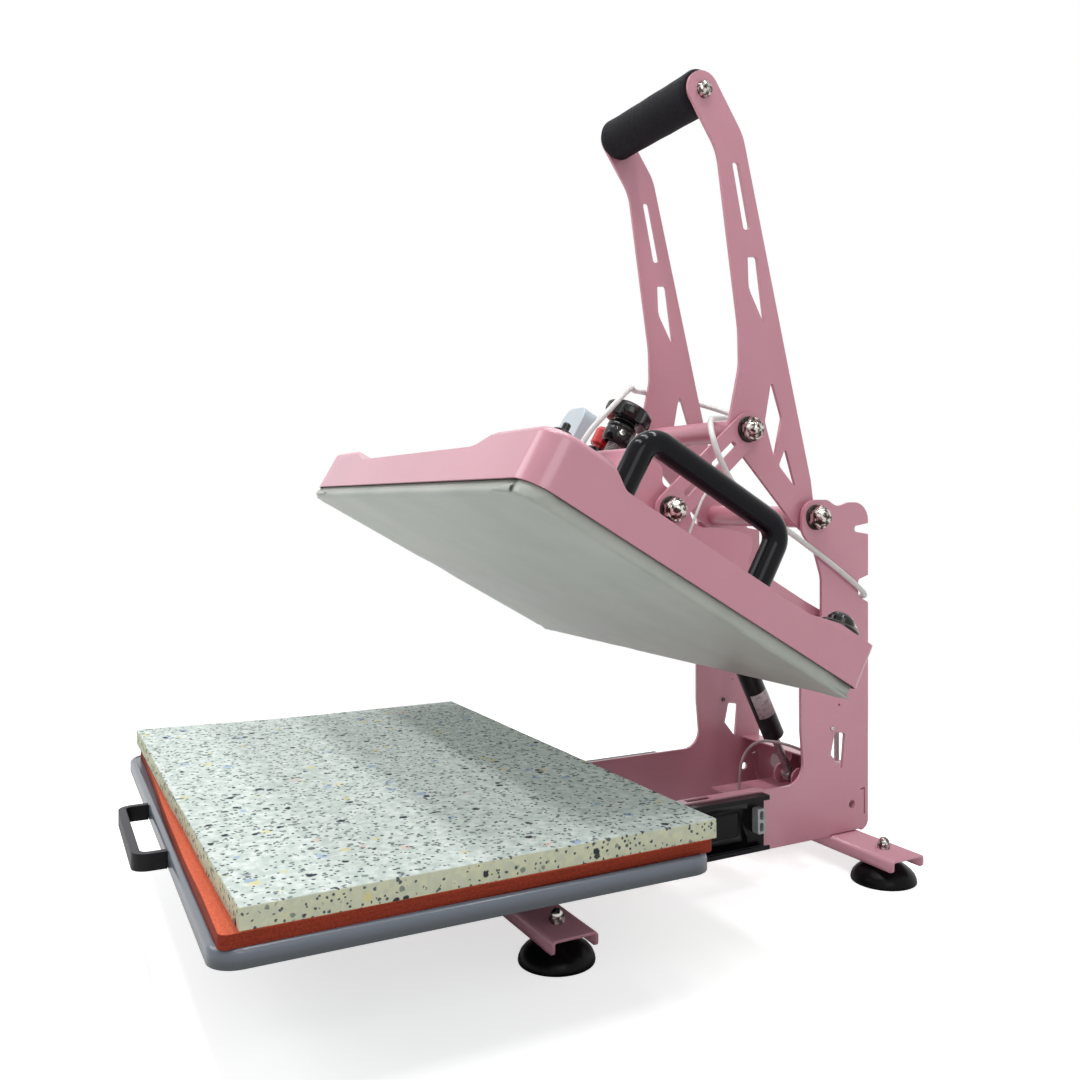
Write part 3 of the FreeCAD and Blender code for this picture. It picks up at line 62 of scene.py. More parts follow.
class Flow:
    """A value on its way through a material. Sums and products of it add their own nodes."""

    def __init__(self, tree, socket=None):
        self.tree = tree
        self.socket = socket

    def node(self, kind, settings=None, inputs=None, output=0):
        """Any node of this material: its settings first, then its sockets' values or links."""
        made = self.tree.nodes.new("ShaderNode" + kind)
        for name, value in (settings or {}).items():
            setattr(made, name, value)
        for name, value in (inputs or {}).items():
            if isinstance(value, Flow):
                self.tree.links.new(value.socket, made.inputs[name])
            else:
                made.inputs[name].default_value = value
        return Flow(self.tree, made.outputs[output])

    def sum(self, operation, first, second=0.0):
        return self.node("Math", {"operation": operation}, {0: first, 1: second})

    def __add__(self, other):
        return self.sum("ADD", self, other)

    def __sub__(self, other):
        return self.sum("SUBTRACT", self, other)

    def __rsub__(self, other):
        return self.sum("SUBTRACT", other, self)

    def __mul__(self, other):
        return self.sum("MULTIPLY", self, other)

    __radd__ = __add__

    def noise(self, scale, detail=2.0, stretch=(1, 1, 1)):
        """Cloudy values of about this many waves a metre, read at this place."""
        place = self
        if stretch != (1, 1, 1):
            place = self.node("Mapping", {}, {"Vector": self, "Scale": stretch})
        return self.node("TexNoise", {}, {"Vector": place, "Scale": scale, "Detail": detail})

    def fade(self, low, high):
        """0 below low, 1 above high and smooth between them."""
        return self.node("MapRange", {"interpolation_type": "SMOOTHSTEP"},
                         {0: self, 1: low, 2: high})

    def between(self, first, second):
        """The first colour where this value is 0, the second where it is 1."""
        return self.node("Mix", {"data_type": "RGBA"}, {0: self, 6: first, 7: second}, 2)

    def part(self, axis):
        """One coordinate of a place: 0 for X, 1 for Y, 2 for Z."""
        return self.node("SeparateXYZ", {}, {0: self}, axis)


def new_finish(name):
    """A new material, and the place on the piece that its pattern is read from."""
    material = bpy.data.materials.new(name)
    material.use_nodes = True
    return material, Flow(material.node_tree).node("TexCoord", output=3)


def finish_with(material, sockets, relief=None, edge=0.0):
    """Sets the shader. relief is a height in metres; edge is how far cut edges look rounded off."""
    tree = material.node_tree
    shader = tree.nodes["Principled BSDF"]
    for name, value in sockets.items():
        if isinstance(value, Flow):
            tree.links.new(value.socket, shader.inputs[name])
        else:
            shader.inputs[name].default_value = value
    normal = None
    if edge:
        normal = Flow(tree).node("Bevel", {"samples": 6}, {"Radius": edge})
    if relief is not None:
        links = {"Strength": 1.0, "Distance": 1.0, "Height": relief}
        if normal:
            links["Normal"] = normal
        normal = Flow(tree).node("Bump", {}, links)
    if normal:
        tree.links.new(normal.socket, shader.inputs["Normal"])
    return material


def dress(material, *nodes):
    """Gives CAD nodes this material."""
    for node in nodes:
        for place in CAD[node].material_slots:
            place.material = material


pink, at = new_finish("pink_powder_coat")
peel = at.noise(520, 2)
drift = at.noise(5, 4)
specks = at.noise(900, 1).fade(0.74, 0.8)
coat = drift.fade(0.3, 0.7).between(paint(203, 140, 155), paint(211, 149, 164))
finish_with(pink, {
    "Base Color": (specks * 0.25).between(coat, paint(150, 96, 110)),
    "Roughness": 0.26 + drift * 0.12,
    "Coat Weight": 0.45,
    "Coat Roughness": 0.12,
}, peel * 0.00005, 0.0009)
dress(pink, "side_plate_right", "side_plate_left")

# Plate screws: two small socket screws with rounded heads, driven into the right faces of the
# side plates above the cut-outs.


def only(piece):
    """Makes this the one selected piece, for the next operator."""
    if bpy.context.mode != "OBJECT":
        bpy.ops.object.mode_set(mode="OBJECT")
    bpy.ops.object.select_all(action="DESELECT")
    piece.select_set(True)
    bpy.context.view_layer.objects.active = piece


def pick(piece, kind, wanted):
    """Selects the verts, edges or faces of the opened piece that are wanted."""
    bpy.ops.mesh.select_mode(type=kind[:-1].upper())
    bpy.ops.mesh.select_all(action="DESELECT")
    shape = bmesh.from_edit_mesh(piece.data)
    for element in getattr(shape, kind):
        if wanted(element):
            element.select_set(True)
    shape.select_flush_mode()
    bmesh.update_edit_mesh(piece.data)


def middle(element):
    """The middle of an edge or face."""
    return sum((v.co for v in element.verts), Vector()) / len(element.verts)


def close(piece, smooth=35, outward=True):
    """Leaves edit mode with doubles merged, faces outward and rounded stretches smooth."""
    bpy.ops.mesh.select_all(action="SELECT")
    bpy.ops.mesh.remove_doubles(threshold=0.000005)
    if outward:
        bpy.ops.mesh.normals_make_consistent(inside=False)
    only(piece)
    bpy.ops.object.shade_smooth_by_angle(angle=math.radians(smooth))


def turn(name, profile, sides=48):
    """A piece turned about Z: a ring drawn from one radius and height of the profile to the next."""
    bpy.ops.object.select_all(action="DESELECT")
    radius, height = profile[0]
    bpy.ops.mesh.primitive_circle_add(vertices=sides, radius=radius, fill_type="NGON")
    piece = bpy.context.object
    piece.name = name
    bpy.ops.object.mode_set(mode="EDIT")
    bpy.ops.transform.translate(value=(0, 0, height))
    bpy.ops.mesh.select_mode(type="EDGE")
    for wider, higher in profile[1:]:
        bpy.ops.mesh.extrude_edges_move(TRANSFORM_OT_translate={"value": (0, 0, higher - height)})
        change = wider / radius
        bpy.ops.transform.resize(value=(change, change, 1), center_override=(0, 0, higher))
        radius, height = wider, higher
    bpy.ops.mesh.edge_face_add()
    close(piece)
    return piece


def copy_of(piece, name):
    """A second piece like it, with its own mesh."""
    twin = bpy.data.objects.new(name, piece.data.copy())
    bpy.context.scene.collection.objects.link(twin)
    return twin


def settle(piece, place):
    """Puts the piece in its place, which ends up in its mesh."""
    piece.matrix_world = place
    only(piece)
    bpy.ops.object.transform_apply(location=True, rotation=True, scale=True)


def fit(piece, material, body, slot, *nodes):
    """Finishes a piece: its material, the body that carries it and the CAD nodes it stands for."""
    piece.data.materials.clear()
    piece.data.materials.append(material)
    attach(piece, body)
    if nodes:
        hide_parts(*nodes)


def at_place(x, y, z, turned=0.0, about="X"):
    """Moves a piece modelled at the origin, turned first by degrees about an axis."""
    return Matrix.Translation((x, y, z)) @ Matrix.Rotation(math.radians(turned), 4, about)


chrome, at = new_finish("nickel_chrome")
# The chrome's colour is painted with dark and bright patches, as painted reflections of the room.
painted_sky_reflection = at.noise(210, 2.5).fade(0.42, 0.6)
finish_with(chrome, {
    "Base Color": painted_sky_reflection.between(paint(88, 78, 72), paint(205, 200, 195)),
    "Metallic": 1.0,
    "Roughness": 0.08 + at.noise(60, 4) * 0.12,
}, None, 0.0006)

screw_high = 0.163
right_face, left_face = 0.104, -0.1
right_screw = turn("plate_screw_right", [
    (0.0028, 0), (0.0028, 0.0012), (0.0021, 0.002), (0.0011, 0.002), (0.0010, 0.0008)], 24)
left_screw = copy_of(right_screw, "plate_screw_left")
for screw, x, y in ((right_screw, right_face, 0.3505), (left_screw, left_face, 0.346)):
    settle(screw, at_place(x, y, screw_high, 90, "Y"))
    fit(screw, chrome, "frame", "chrome_nut")

# Panels of the base: folded steel sheets between the side plates, painted with them, and the
# small fork that the gas spring stands on.
dress(pink, "rear_panel", "base_panels", "gas_spring_bracket")

# Foot beams: two channels folded from 3 mm sheet across the bottom, painted with the frame.
# Their corners are rounded, and the side plates are slotted over them.
beam_fold, beam_corner, beam_sheet = 0.0045, 0.004, 0.003


def work(piece, kind, **settings):
    """Puts a modifier on the piece and applies it."""
    only(piece)
    modifier = piece.modifiers.new(kind.lower(), kind)
    for name, value in settings.items():
        setattr(modifier, name, value)
    bpy.ops.object.modifier_apply(modifier=modifier.name)


def foot_beam(name, node):
    """A channel drawn down from a flat strip."""
    low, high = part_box(node)
    bpy.ops.object.select_all(action="DESELECT")
    bpy.ops.mesh.primitive_plane_add(
        size=1, location=((low.x + high.x) / 2, (low.y + high.y) / 2, high.z))
    beam = bpy.context.object
    beam.name = name
    beam.scale = (high.x - low.x, high.y - low.y, 1)
    bpy.ops.object.transform_apply(location=True, rotation=True, scale=True)
    bpy.ops.object.mode_set(mode="EDIT")

    def along(edge):
        return abs(edge.verts[0].co.y - edge.verts[1].co.y) < 0.001

    pick(beam, "edges", along)
    bpy.ops.mesh.extrude_edges_move(TRANSFORM_OT_translate={"value": (0, 0, low.z - high.z)})
    pick(beam, "verts", lambda v: v.co.z < low.z + 0.001)
    bpy.ops.mesh.bevel(offset=beam_corner, segments=3, affect="VERTICES")
    pick(beam, "edges", lambda e: along(e) and middle(e).z > high.z - 0.001)
    bpy.ops.mesh.bevel(offset=beam_fold, segments=5)
    close(beam)
    work(beam, "SOLIDIFY", thickness=beam_sheet, offset=-1)
    fit(beam, pink, "frame", "pink_paint", node)


for end in ("front", "rear"):
    foot_beam(f"{end}_channel", f"{end}_foot_beam")

# Foot nuts: chromed acorn nuts on top of the beams. Each holds the stud of the suction cup that
# hangs below it.
dress(chrome, "foot_nuts")

# Suction feet: moulded black rubber cups with a domed back and a thin lip, each hung on a stud
# under the end of a beam.
rubber, at = new_finish("cup_rubber")
dust = at.noise(60, 5)
finish_with(rubber, {
    "Base Color": dust.fade(0.55, 0.8).between(paint(9, 10, 12), paint(30, 31, 34)),
    "Roughness": 0.2 + dust * 0.22,
    "Specular IOR Level": 0.1,
}, at.noise(900, 2) * 0.00002)

cup_profile = [
    (0.004, 0.009), (0.015, 0.0078), (0.026, 0.0045), (0.033, 0.0014), (0.0352, 0), (0.0364, 0.0006),
    (0.0366, 0.0022), (0.0362, 0.0042), (0.0345, 0.0085), (0.0312, 0.0125), (0.0265, 0.0162),
    (0.0205, 0.0192), (0.0150, 0.0207), (0.0118, 0.0218), (0.0112, 0.0232), (0.0110, 0.0290),
    (0.0100, 0.0300), (0.0045, 0.0305), (0.0040, 0.0330)]
cup_radius = max(radius for radius, height in cup_profile)
first_cup = turn("suction_cup", cup_profile, 64)
for end in ("front", "rear"):
    low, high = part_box(f"suction_cups_{end}")
    reach = high.x - cup_radius
    for side, x in (("left", -reach), ("right", reach)):
        cup = copy_of(first_cup, f"suction_cup_{end}_{side}")
        settle(cup, at_place(x, (low.y + high.y) / 2, 0))
        fit(cup, rubber, "frame", "cup_rubber", f"suction_cups_{end}")
bpy.data.objects.remove(first_cup)

# Slide members: rolled black steel, the fixed ones screwed outside the base arms, with a middle
# and an inner member running in each of them.
slide, at = new_finish("black_slide")
rub = at.noise(14, 4, (1, 0.1, 1))
finish_with(slide, {
    "Base Color": rub.fade(0.5, 0.8).between(paint(7, 8, 11), paint(19, 21, 27)),
    "Roughness": 0.2 + rub * 0.16,
    "Specular IOR Level": 0.15,
    "Coat Weight": 0.12,
    "Coat Roughness": 0.1,
}, at.noise(600) * 0.00003, 0.0008)
dress(slide, "slide_outer", "slide_middle", "slide_inner")

# Ball cages: thin pressed strips with a long window, that keep the balls between the fixed and the
# middle members.
slide_low, slide_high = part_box("slide_outer")
cage_x = 0.10685
cage_front, cage_rear = 0.100, 0.222
cage_gap, cage_border, cage_sheet = 0.0045, 0.013, 0.0003
cage_low, cage_high = slide_low.z + cage_gap, slide_high.z - cage_gap
for side, sign in (("right", 1), ("left", -1)):
    bpy.ops.object.select_all(action="DESELECT")
    bpy.ops.mesh.primitive_plane_add(size=1, rotation=(0, math.radians(90), 0), location=(
        sign * cage_x, (cage_front + cage_rear) / 2, (cage_low + cage_high) / 2))
    cage = bpy.context.object
    cage.name = f"ball_cage_{side}"
    cage.scale = (cage_high - cage_low, cage_rear - cage_front, 1)
    bpy.ops.object.transform_apply(location=True, rotation=True, scale=True)
    bpy.ops.object.mode_set(mode="EDIT")
    bpy.ops.mesh.inset(thickness=cage_border)
    bpy.ops.mesh.delete(type="FACE")
    close(cage)
    work(cage, "SOLIDIFY", thickness=cage_sheet, offset=0)
    fit(cage, slide, "frame", "slide_black")

# Slide stops: two clips moulded in grey plastic, each with two windows. They are snapped into the
# rear ends of the fixed members.
clip, at = new_finish("grey_clip")
finish_with(clip, {
    "Base Color": at.noise(60, 3).between(paint(158, 160, 163), paint(186, 188, 190)),
    "Roughness": 0.42,
}, at.noise(900) * 0.00003, 0.0008)
dress(clip, "slide_stops")

# Drawer: a shallow pressed tray with a rolled rim, on two brackets. Both are in blue-grey satin
# enamel, painted darker below the rim as painted shade.
enamel, at = new_finish("tray_enamel")
drift = at.noise(4, 3)
height = at.part(2)
# Below these heights the enamel colour is painted darker, as painted shade.
shade_from, shade_to = 0.117, 0.126
finish_with(enamel, {
    "Base Color": height.fade(shade_from, shade_to).between(
        drift.between(paint(54, 61, 67), paint(66, 73, 79)),
        drift.between(paint(92, 100, 112), paint(102, 110, 122))),
    "Roughness": 0.27 + drift * 0.1,
    "Coat Weight": 0.35,
    "Coat Roughness": 0.14,
}, at.noise(420) * 0.00006, 0.001)
dress(enamel, "tray", "drawer_frame")

# Drawer pull: a flat bar bent into a loop and fixed to the front of the drawer. Its black paint is
# textured, and its top faces are painted paler as painted light from above.
black_bar, at = new_finish("black_bar")
grit = at.noise(700, 3)
# The upward faces are painted paler, as painted light from above.
painted_top_light = at.node("TexCoord", output=1).part(2)
finish_with(black_bar, {
    "Base Color": (painted_top_light.fade(0.5, 0.95) * 0.8).between(
        grit.between(paint(13, 14, 16), paint(24, 24, 27)),
        grit.between(paint(44, 45, 50), paint(60, 60, 66))),
    "Roughness": 0.42,
    "Specular IOR Level": 0.2,
}, grit * 0.00018, 0.0016)
dress(black_bar, "drawer_pull")

# Silicone sheet: 14 mm of brick-red silicone sponge, cut on a saw. It lies in the tray a little
# askew, so that its front edge runs back to the left. The foam on it presses 2.5 mm into it.


def block(name, node, cell, corner, rounding):
    """A soft block in a node's box, with rounded corners and edges, cut into cells."""
    low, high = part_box(node)
    bpy.ops.object.select_all(action="DESELECT")
    bpy.ops.mesh.primitive_cube_add(size=1, location=(low + high) / 2)
    piece = bpy.context.object
    piece.name = name
    piece.scale = high - low
    bpy.ops.object.transform_apply(location=True, rotation=True, scale=True)
    bpy.ops.object.mode_set(mode="EDIT")
    pick(piece, "edges", lambda e: abs(e.verts[0].co.z - e.verts[1].co.z) > 0.001)
    bpy.ops.mesh.bevel(offset=corner, segments=5)
    pick(piece, "edges", lambda e: abs(e.verts[0].co.z - e.verts[1].co.z) < 0.001)
    bpy.ops.mesh.bevel(offset=rounding, segments=3)
    for axis in (0, 1):
        across = Vector((0, 0, 0))
        across[axis] = 1
        for step in range(1, round((high[axis] - low[axis]) / cell)):
            bpy.ops.mesh.select_all(action="SELECT")
            bpy.ops.mesh.bisect(plane_co=low + across * cell * step, plane_no=across)
    close(piece, 50)
    return piece, low, high


def ease(value, low, high):
    """0 below low, 1 above high and smooth between them."""
    t = min(max((value - low) / (high - low), 0), 1)
    return t * t * (3 - 2 * t)


soft_cell, pressed_in = 0.02, 0.0025
silicone_piece, low, high = block("silicone_sponge", "silicone_sheet", soft_cell, 0.007, 0.0011)
tray_turn = math.radians(1)
silicone_half = 0.3
narrower = silicone_half / high.x
askew_zone, set_back, left_set_back = 0.12, 0.0045, 0.006
edge_waves, top_waves = 0.0006, 0.0004
for v in silicone_piece.data.vertices:
    x, y, z = v.co
    x *= narrower
    frontness = 1 - ease(y, low.y, low.y + askew_zone)
    y += frontness * (set_back - tray_turn * x) + frontness * left_set_back * ease(-x, -0.1, 0.3)
    y += edge_waves * noise.noise((x * 14, y * 14, z * 60)) * frontness
    z += (top_waves * noise.noise((x * 22, y * 22, 3)) - pressed_in) * (z > (low.z + high.z) / 2)
    v.co = (x, y, z)
silicone, at = new_finish("silicone_sponge")
grain = at.noise(560, 4)
saw = at.noise(30, 3, (1, 1, 30))
up = at.node("TexCoord", output=1).part(2)
# The sides are painted dark, as painted shade under the foam, and the top paler, as painted light.
painted_shaded_side = (grain * 0.6 + saw * 0.4).fade(0.3, 0.7).between(
    paint(116, 38, 21), paint(150, 56, 33))
painted_lit_top = grain.fade(0.3, 0.7).between(paint(196, 86, 58), paint(214, 108, 78))
finish_with(silicone, {
    "Base Color": up.fade(0.3, 0.9).between(painted_shaded_side, painted_lit_top),
    "Roughness": 0.72,
    "Specular IOR Level": 0.2,
}, grain * 0.00035 + saw * 0.0002)
fit(silicone_piece, silicone, "drawer", "silicone_red", "silicone_sheet")

# Foam pad: 14 mm of bonded foam crumb, pale green with dark and pastel chips, knife-cut to
# 600 x 400 mm. It lies loose on the silicone, and its left front corner has lifted by 3.5 mm.
foam_piece, low, high = block("bonded_foam_pad", "foam_pad", soft_cell, 0.0012, 0.0008)
corner_lift, lift_zone = 0.0035, 0.2
cut_waves, top_waves = 0.0007, 0.00045
for v in foam_piece.data.vertices:
    x, y, z = v.co
    near_corner = ease(-x, 0.02, 0.3) * ease(low.y + lift_zone - y, 0, lift_zone)
    top = z > (low.z + high.z) / 2
    y += cut_waves * noise.noise((x * 9, 1, z * 30)) * (abs(y - (low.y + high.y) / 2) > 0.19)
    x += cut_waves * noise.noise((2, y * 9, z * 30)) * (abs(x) > 0.29)
    settled = top_waves * noise.noise((x * 18, y * 18, 5)) if top else -pressed_in
    z += corner_lift * near_corner + settled
    v.co = (x, y, z)


def chips(at, scale, share, size, ragged):
    """Where foam crumbs show: cells a metre, the share of them shown, their size, how torn."""
    torn = at.node("TexNoise", {}, {"Vector": at, "Scale": scale * 1.7, "Detail": 2.0}, output=1)
    place = at.node("VectorMath", {"operation": "MULTIPLY_ADD"}, {
        0: torn, 1: (ragged / scale,) * 3, 2: at})
    cell = {"Vector": place, "Scale": scale}
    near = at.node("TexVoronoi", {}, cell, output=0)
    luck = at.node("TexVoronoi", {}, cell, output=1).part(0)
    return luck.fade(1 - share, 1 - share + 0.01) * (1 - near.fade(size, size + 0.1))


foam, at = new_finish("bonded_foam")
up = at.node("TexCoord", output=1).part(2).fade(0.3, 0.9)
cloud = at.noise(120, 3)
crumb = at.noise(420, 3)
ground = up.between(cloud.between(paint(196, 200, 168), paint(222, 222, 190)),
                    cloud.fade(0.3, 0.7).between(paint(190, 202, 196), paint(224, 230, 226)))
pale = at.node("TexVoronoi", {}, {"Vector": at, "Scale": 210.0}, output=1).part(1)
ground = (pale * 0.35).between(ground, paint(168, 182, 178))
ragged_edge = 0.5
for colour, scale, share, size, strength in (
        (paint(226, 178, 160), 62.0, 0.016, 0.36, 0.45),
        (paint(126, 158, 196), 74.0, 0.04, 0.32, 0.6),
        (paint(222, 205, 110), 80.0, 0.03, 0.34, 0.5),
        (paint(92, 108, 104), 150.0, 0.16, 0.34, 0.75),
        (paint(50, 66, 76), 240.0, 0.2, 0.36, 0.9),
        (paint(22, 30, 44), 120.0, 0.045, 0.36, 0.97),
        (paint(34, 46, 66), 330.0, 0.12, 0.38, 0.9)):
    ground = (chips(at, scale, share, size, ragged_edge) * strength).between(ground, colour)
finish_with(foam, {"Base Color": ground, "Roughness": 0.92}, crumb * 0.0004 + cloud * 0.0003)
fit(foam_piece, foam, "drawer", "foam_speckled", "foam_pad")

# Heated casting: a plain aluminium plate that heats the work, hung tilted by 29.5 degrees from the
# hinge. The cover and the wrap hide all of it but its edges.
hinge = Vector((0, 0.366, 0.270))
open_tilt = 29.5
platen_front, platen_face = -0.5316, -0.112
platen_wide, platen_deep = 0.6, 0.4
rear_short, rear_zone = 0.014, 0.03
PLATEN = (Matrix.Translation(hinge) @ Matrix.Rotation(math.radians(-open_tilt), 4, "X")
          @ Matrix.Translation((0, platen_front, platen_face)))
level = PLATEN.inverted()


def on_platen(x, back, high, turned=0.0, about="X"):
    """A place on the open platen: across, behind its front edge and above its heated face."""
    return PLATEN @ at_place(x, back, high, turned, about)


def drawn_on(node, name):
    """A new piece that starts from a CAD node's shape, with its triangles joined into faces."""
    piece = bpy.data.objects.new(name, CAD[node].data.copy())
    bpy.context.scene.collection.objects.link(piece)
    only(piece)
    bpy.ops.object.mode_set(mode="EDIT")
    bpy.ops.mesh.select_all(action="SELECT")
    bpy.ops.mesh.remove_doubles(threshold=0.00001)
    bpy.ops.mesh.dissolve_limited(angle_limit=math.radians(0.5))
    return piece


def draw_in_rear(piece):
    """Moves the rear end of a platen piece forward."""
    pick(piece, "verts", lambda v: (level @ v.co).y > platen_deep - rear_zone)
    bpy.ops.transform.translate(value=(PLATEN.to_3x3() @ Vector((0, -rear_short, 0))))


casting, at = new_finish("cast_aluminium")
finish_with(casting, {
    "Base Color": at.noise(60, 4).between(paint(130, 131, 133), paint(160, 161, 163)),
    "Metallic": 0.9,
    "Roughness": 0.5,
}, at.noise(400, 4) * 0.0002)
cast_plate = drawn_on("heated_casting", "cast_plate")
draw_in_rear(cast_plate)
close(cast_plate, 30)
fit(cast_plate, casting, "platen", "casting", "heated_casting")

# Wrap: one sheet of grey-green non-stick glass cloth stretched over the heated face and folded up
# its sides under the cover, with the corners tucked in.
wrap_high, bulge = 0.0145, 0.0055
wrap_rear, wrap_corner = platen_deep - rear_short + 0.002, 0.024
wrap_middle = (wrap_rear - bulge) / 2
half_wide = platen_wide / 2 + bulge
half_deep = (wrap_rear + bulge) / 2
wrap_clear, edge_round, cloth = 0.0002, 0.0055, 0.0003
edge_zone, corner_zone, at_edge = 0.03, 0.04, 0.0005
bpy.ops.object.select_all(action="DESELECT")
bpy.ops.mesh.primitive_grid_add(x_subdivisions=75, y_subdivisions=50, size=1,
                                location=(0, wrap_middle, wrap_clear))
wrap_piece = bpy.context.object
wrap_piece.name = "non_stick_wrap"
wrap_piece.scale = (2 * half_wide, 2 * half_deep, 1)
bpy.ops.object.transform_apply(location=True, rotation=True, scale=True)
bpy.ops.object.mode_set(mode="EDIT")
bpy.ops.mesh.select_all(action="SELECT")
bpy.ops.mesh.region_to_loop()
bpy.ops.mesh.extrude_edges_move(TRANSFORM_OT_translate={"value": (0, 0, wrap_high)})
pick(wrap_piece, "edges", lambda e: {abs(f.normal.z) > 0.5 for f in e.link_faces} == {True, False})
bpy.ops.mesh.bevel(offset=edge_round, segments=4, affect="EDGES")
close(wrap_piece, 180, outward=False)
for v in wrap_piece.data.vertices:
    x, y, z = v.co
    from_side, from_end = half_wide - abs(x), half_deep - abs(y - wrap_middle)
    inside = ease(min(from_side, from_end), 0, edge_zone)
    corner = (1 - ease(from_side, 0, corner_zone)) * (1 - ease(from_end, 0, corner_zone))
    # the cloth rides up in low ripples along the edges and puckers at the corners
    ripple = noise.noise((x * 22, y * 22, 1.5)) * 0.0011 * (1 - 0.6 * inside)
    pucker = noise.noise((x * 130, y * 130, z * 90)) * 0.0022 * corner
    if min(from_side, from_end) < at_edge:
        drawn_in = 0.0004 + 0.004 * corner
        x -= math.copysign(drawn_in, x) * (from_side < at_edge)
        y -= math.copysign(drawn_in, y - wrap_middle) * (from_end < at_edge) - pucker * 0.5
        z += pucker * 0.6
    else:
        z += 0.0006 + abs(ripple) * 0.5 + ripple * 0.5 + pucker * 0.8
    # both front corners are rounded off
    beyond = Vector((wrap_corner - from_side, wrap_corner - from_end))
    if y < wrap_middle and min(beyond) > 0 and beyond.length > wrap_corner:
        beyond *= wrap_corner / beyond.length
        x = math.copysign(half_wide - wrap_corner + beyond.x, x)
        y = wrap_corner - bulge - beyond.y
    v.co = (x, y, z)
work(wrap_piece, "SOLIDIFY", thickness=cloth, offset=0)
settle(wrap_piece, PLATEN)

# Corner folds: the spare cloth of each front corner of the wrap, doubled over into a small dart
# that lies against its front wall.
fold_inset, fold_long = 0.016, 0.034
fold_tall, fold_narrows, fold_clear = 0.0085, 0.006, 0.0002
folds = []
for side, sign in (("right", 1), ("left", -1)):
    bpy.ops.object.select_all(action="DESELECT")
    bpy.ops.mesh.primitive_grid_add(x_subdivisions=12, y_subdivisions=4, size=1)
    fold = bpy.context.object
    fold.name = f"wrap_fold_{side}"
    for v in fold.data.vertices:
        along, across = v.co.x + 0.5, v.co.y + 0.5
        puff = math.sin(math.pi * across) * 0.0016 * (1 - along * 0.6)
        v.co = (sign * (platen_wide / 2 - fold_inset - fold_long * along),
                -bulge - fold_clear - puff,
                0.0012 + (fold_tall - fold_narrows * along) * across + 0.002 * along)
    work(fold, "SOLIDIFY", thickness=0.0004, offset=0)
    settle(fold, PLATEN)
    only(fold)
    bpy.ops.object.shade_smooth()
    folds.append(fold)

# The cloth's finish is read in the platen's own directions: woven threads and streaks along the
# depth.
# Painted shade darkens its sides and a band behind the front edge, and painted light pales it to the
# rear.
threads = 330.0
glass_cloth, at = new_finish("glass_cloth")
flat = at.node("Mapping", {"vector_type": "TEXTURE"}, {
    "Location": tuple(PLATEN.to_translation()), "Rotation": (math.radians(-open_tilt), 0, 0)})
back = flat.part(1)
mottle = at.noise(9, 5)
weave = flat.node("TexWave", {"bands_direction": "X"}, {"Scale": threads}) * flat.node(
    "TexWave", {"bands_direction": "Y"}, {"Scale": threads})
streak = flat.noise(26, 3, (1, 0.25, 1))
# The tone grows paler towards the rear, as painted light.
tone = (mottle * 0.55 + streak * 0.25 + back * 0.6).fade(0.3, 0.75)
# Near the sides the cloth is painted darker, as painted shade.
rim = 1 - flat.sum("ABSOLUTE", flat.part(0)).fade(0.27, 0.297)
# A band behind the front edge is painted darker, as painted shade.
painted_front_shade = back.fade(0.002, 0.03) * (1 - back.fade(0.04, 0.2)) * 0.75
cloth_with_side_shade = (rim * 0.3 + 0.7).between(
    paint(122, 132, 122), tone.between(paint(150, 160, 148), paint(186, 190, 182)))
finish_with(glass_cloth, {
    "Base Color": painted_front_shade.between(cloth_with_side_shade, paint(118, 130, 116)),
    "Roughness": 0.34 + mottle * 0.16,
    "Coat Weight": 0.15,
    "Coat Roughness": 0.2,
}, weave * 0.00004 + at.noise(40, 3) * 0.0004)
fit(wrap_piece, glass_cloth, "platen", "wrap_grey", "wrap_sheet")
for fold in folds:
    fit(fold, glass_cloth, "platen", "wrap_grey")

# Cover: one lid pressed from 1.5 mm steel over the casting, with raised corners and a dip in each
# side, painted pink. It reaches a little past the casting all round.
rim_raised = 0.003
cover = drawn_on("platen_cover", "pressed_cover")
draw_in_rear(cover)
rim_low = min((level @ v.co).z for v in cover.data.vertices)
pick(cover, "verts", lambda v: (level @ v.co).z < rim_low + 0.0005)
bpy.ops.transform.translate(value=(PLATEN.to_3x3() @ Vector((0, 0, rim_raised))))
only(cover)
bpy.ops.object.shade_smooth_by_angle(angle=math.radians(30))
work(cover, "WEIGHTED_NORMAL", keep_sharp=True)
fit(cover, pink, "platen", "pink_paint", "platen_cover")

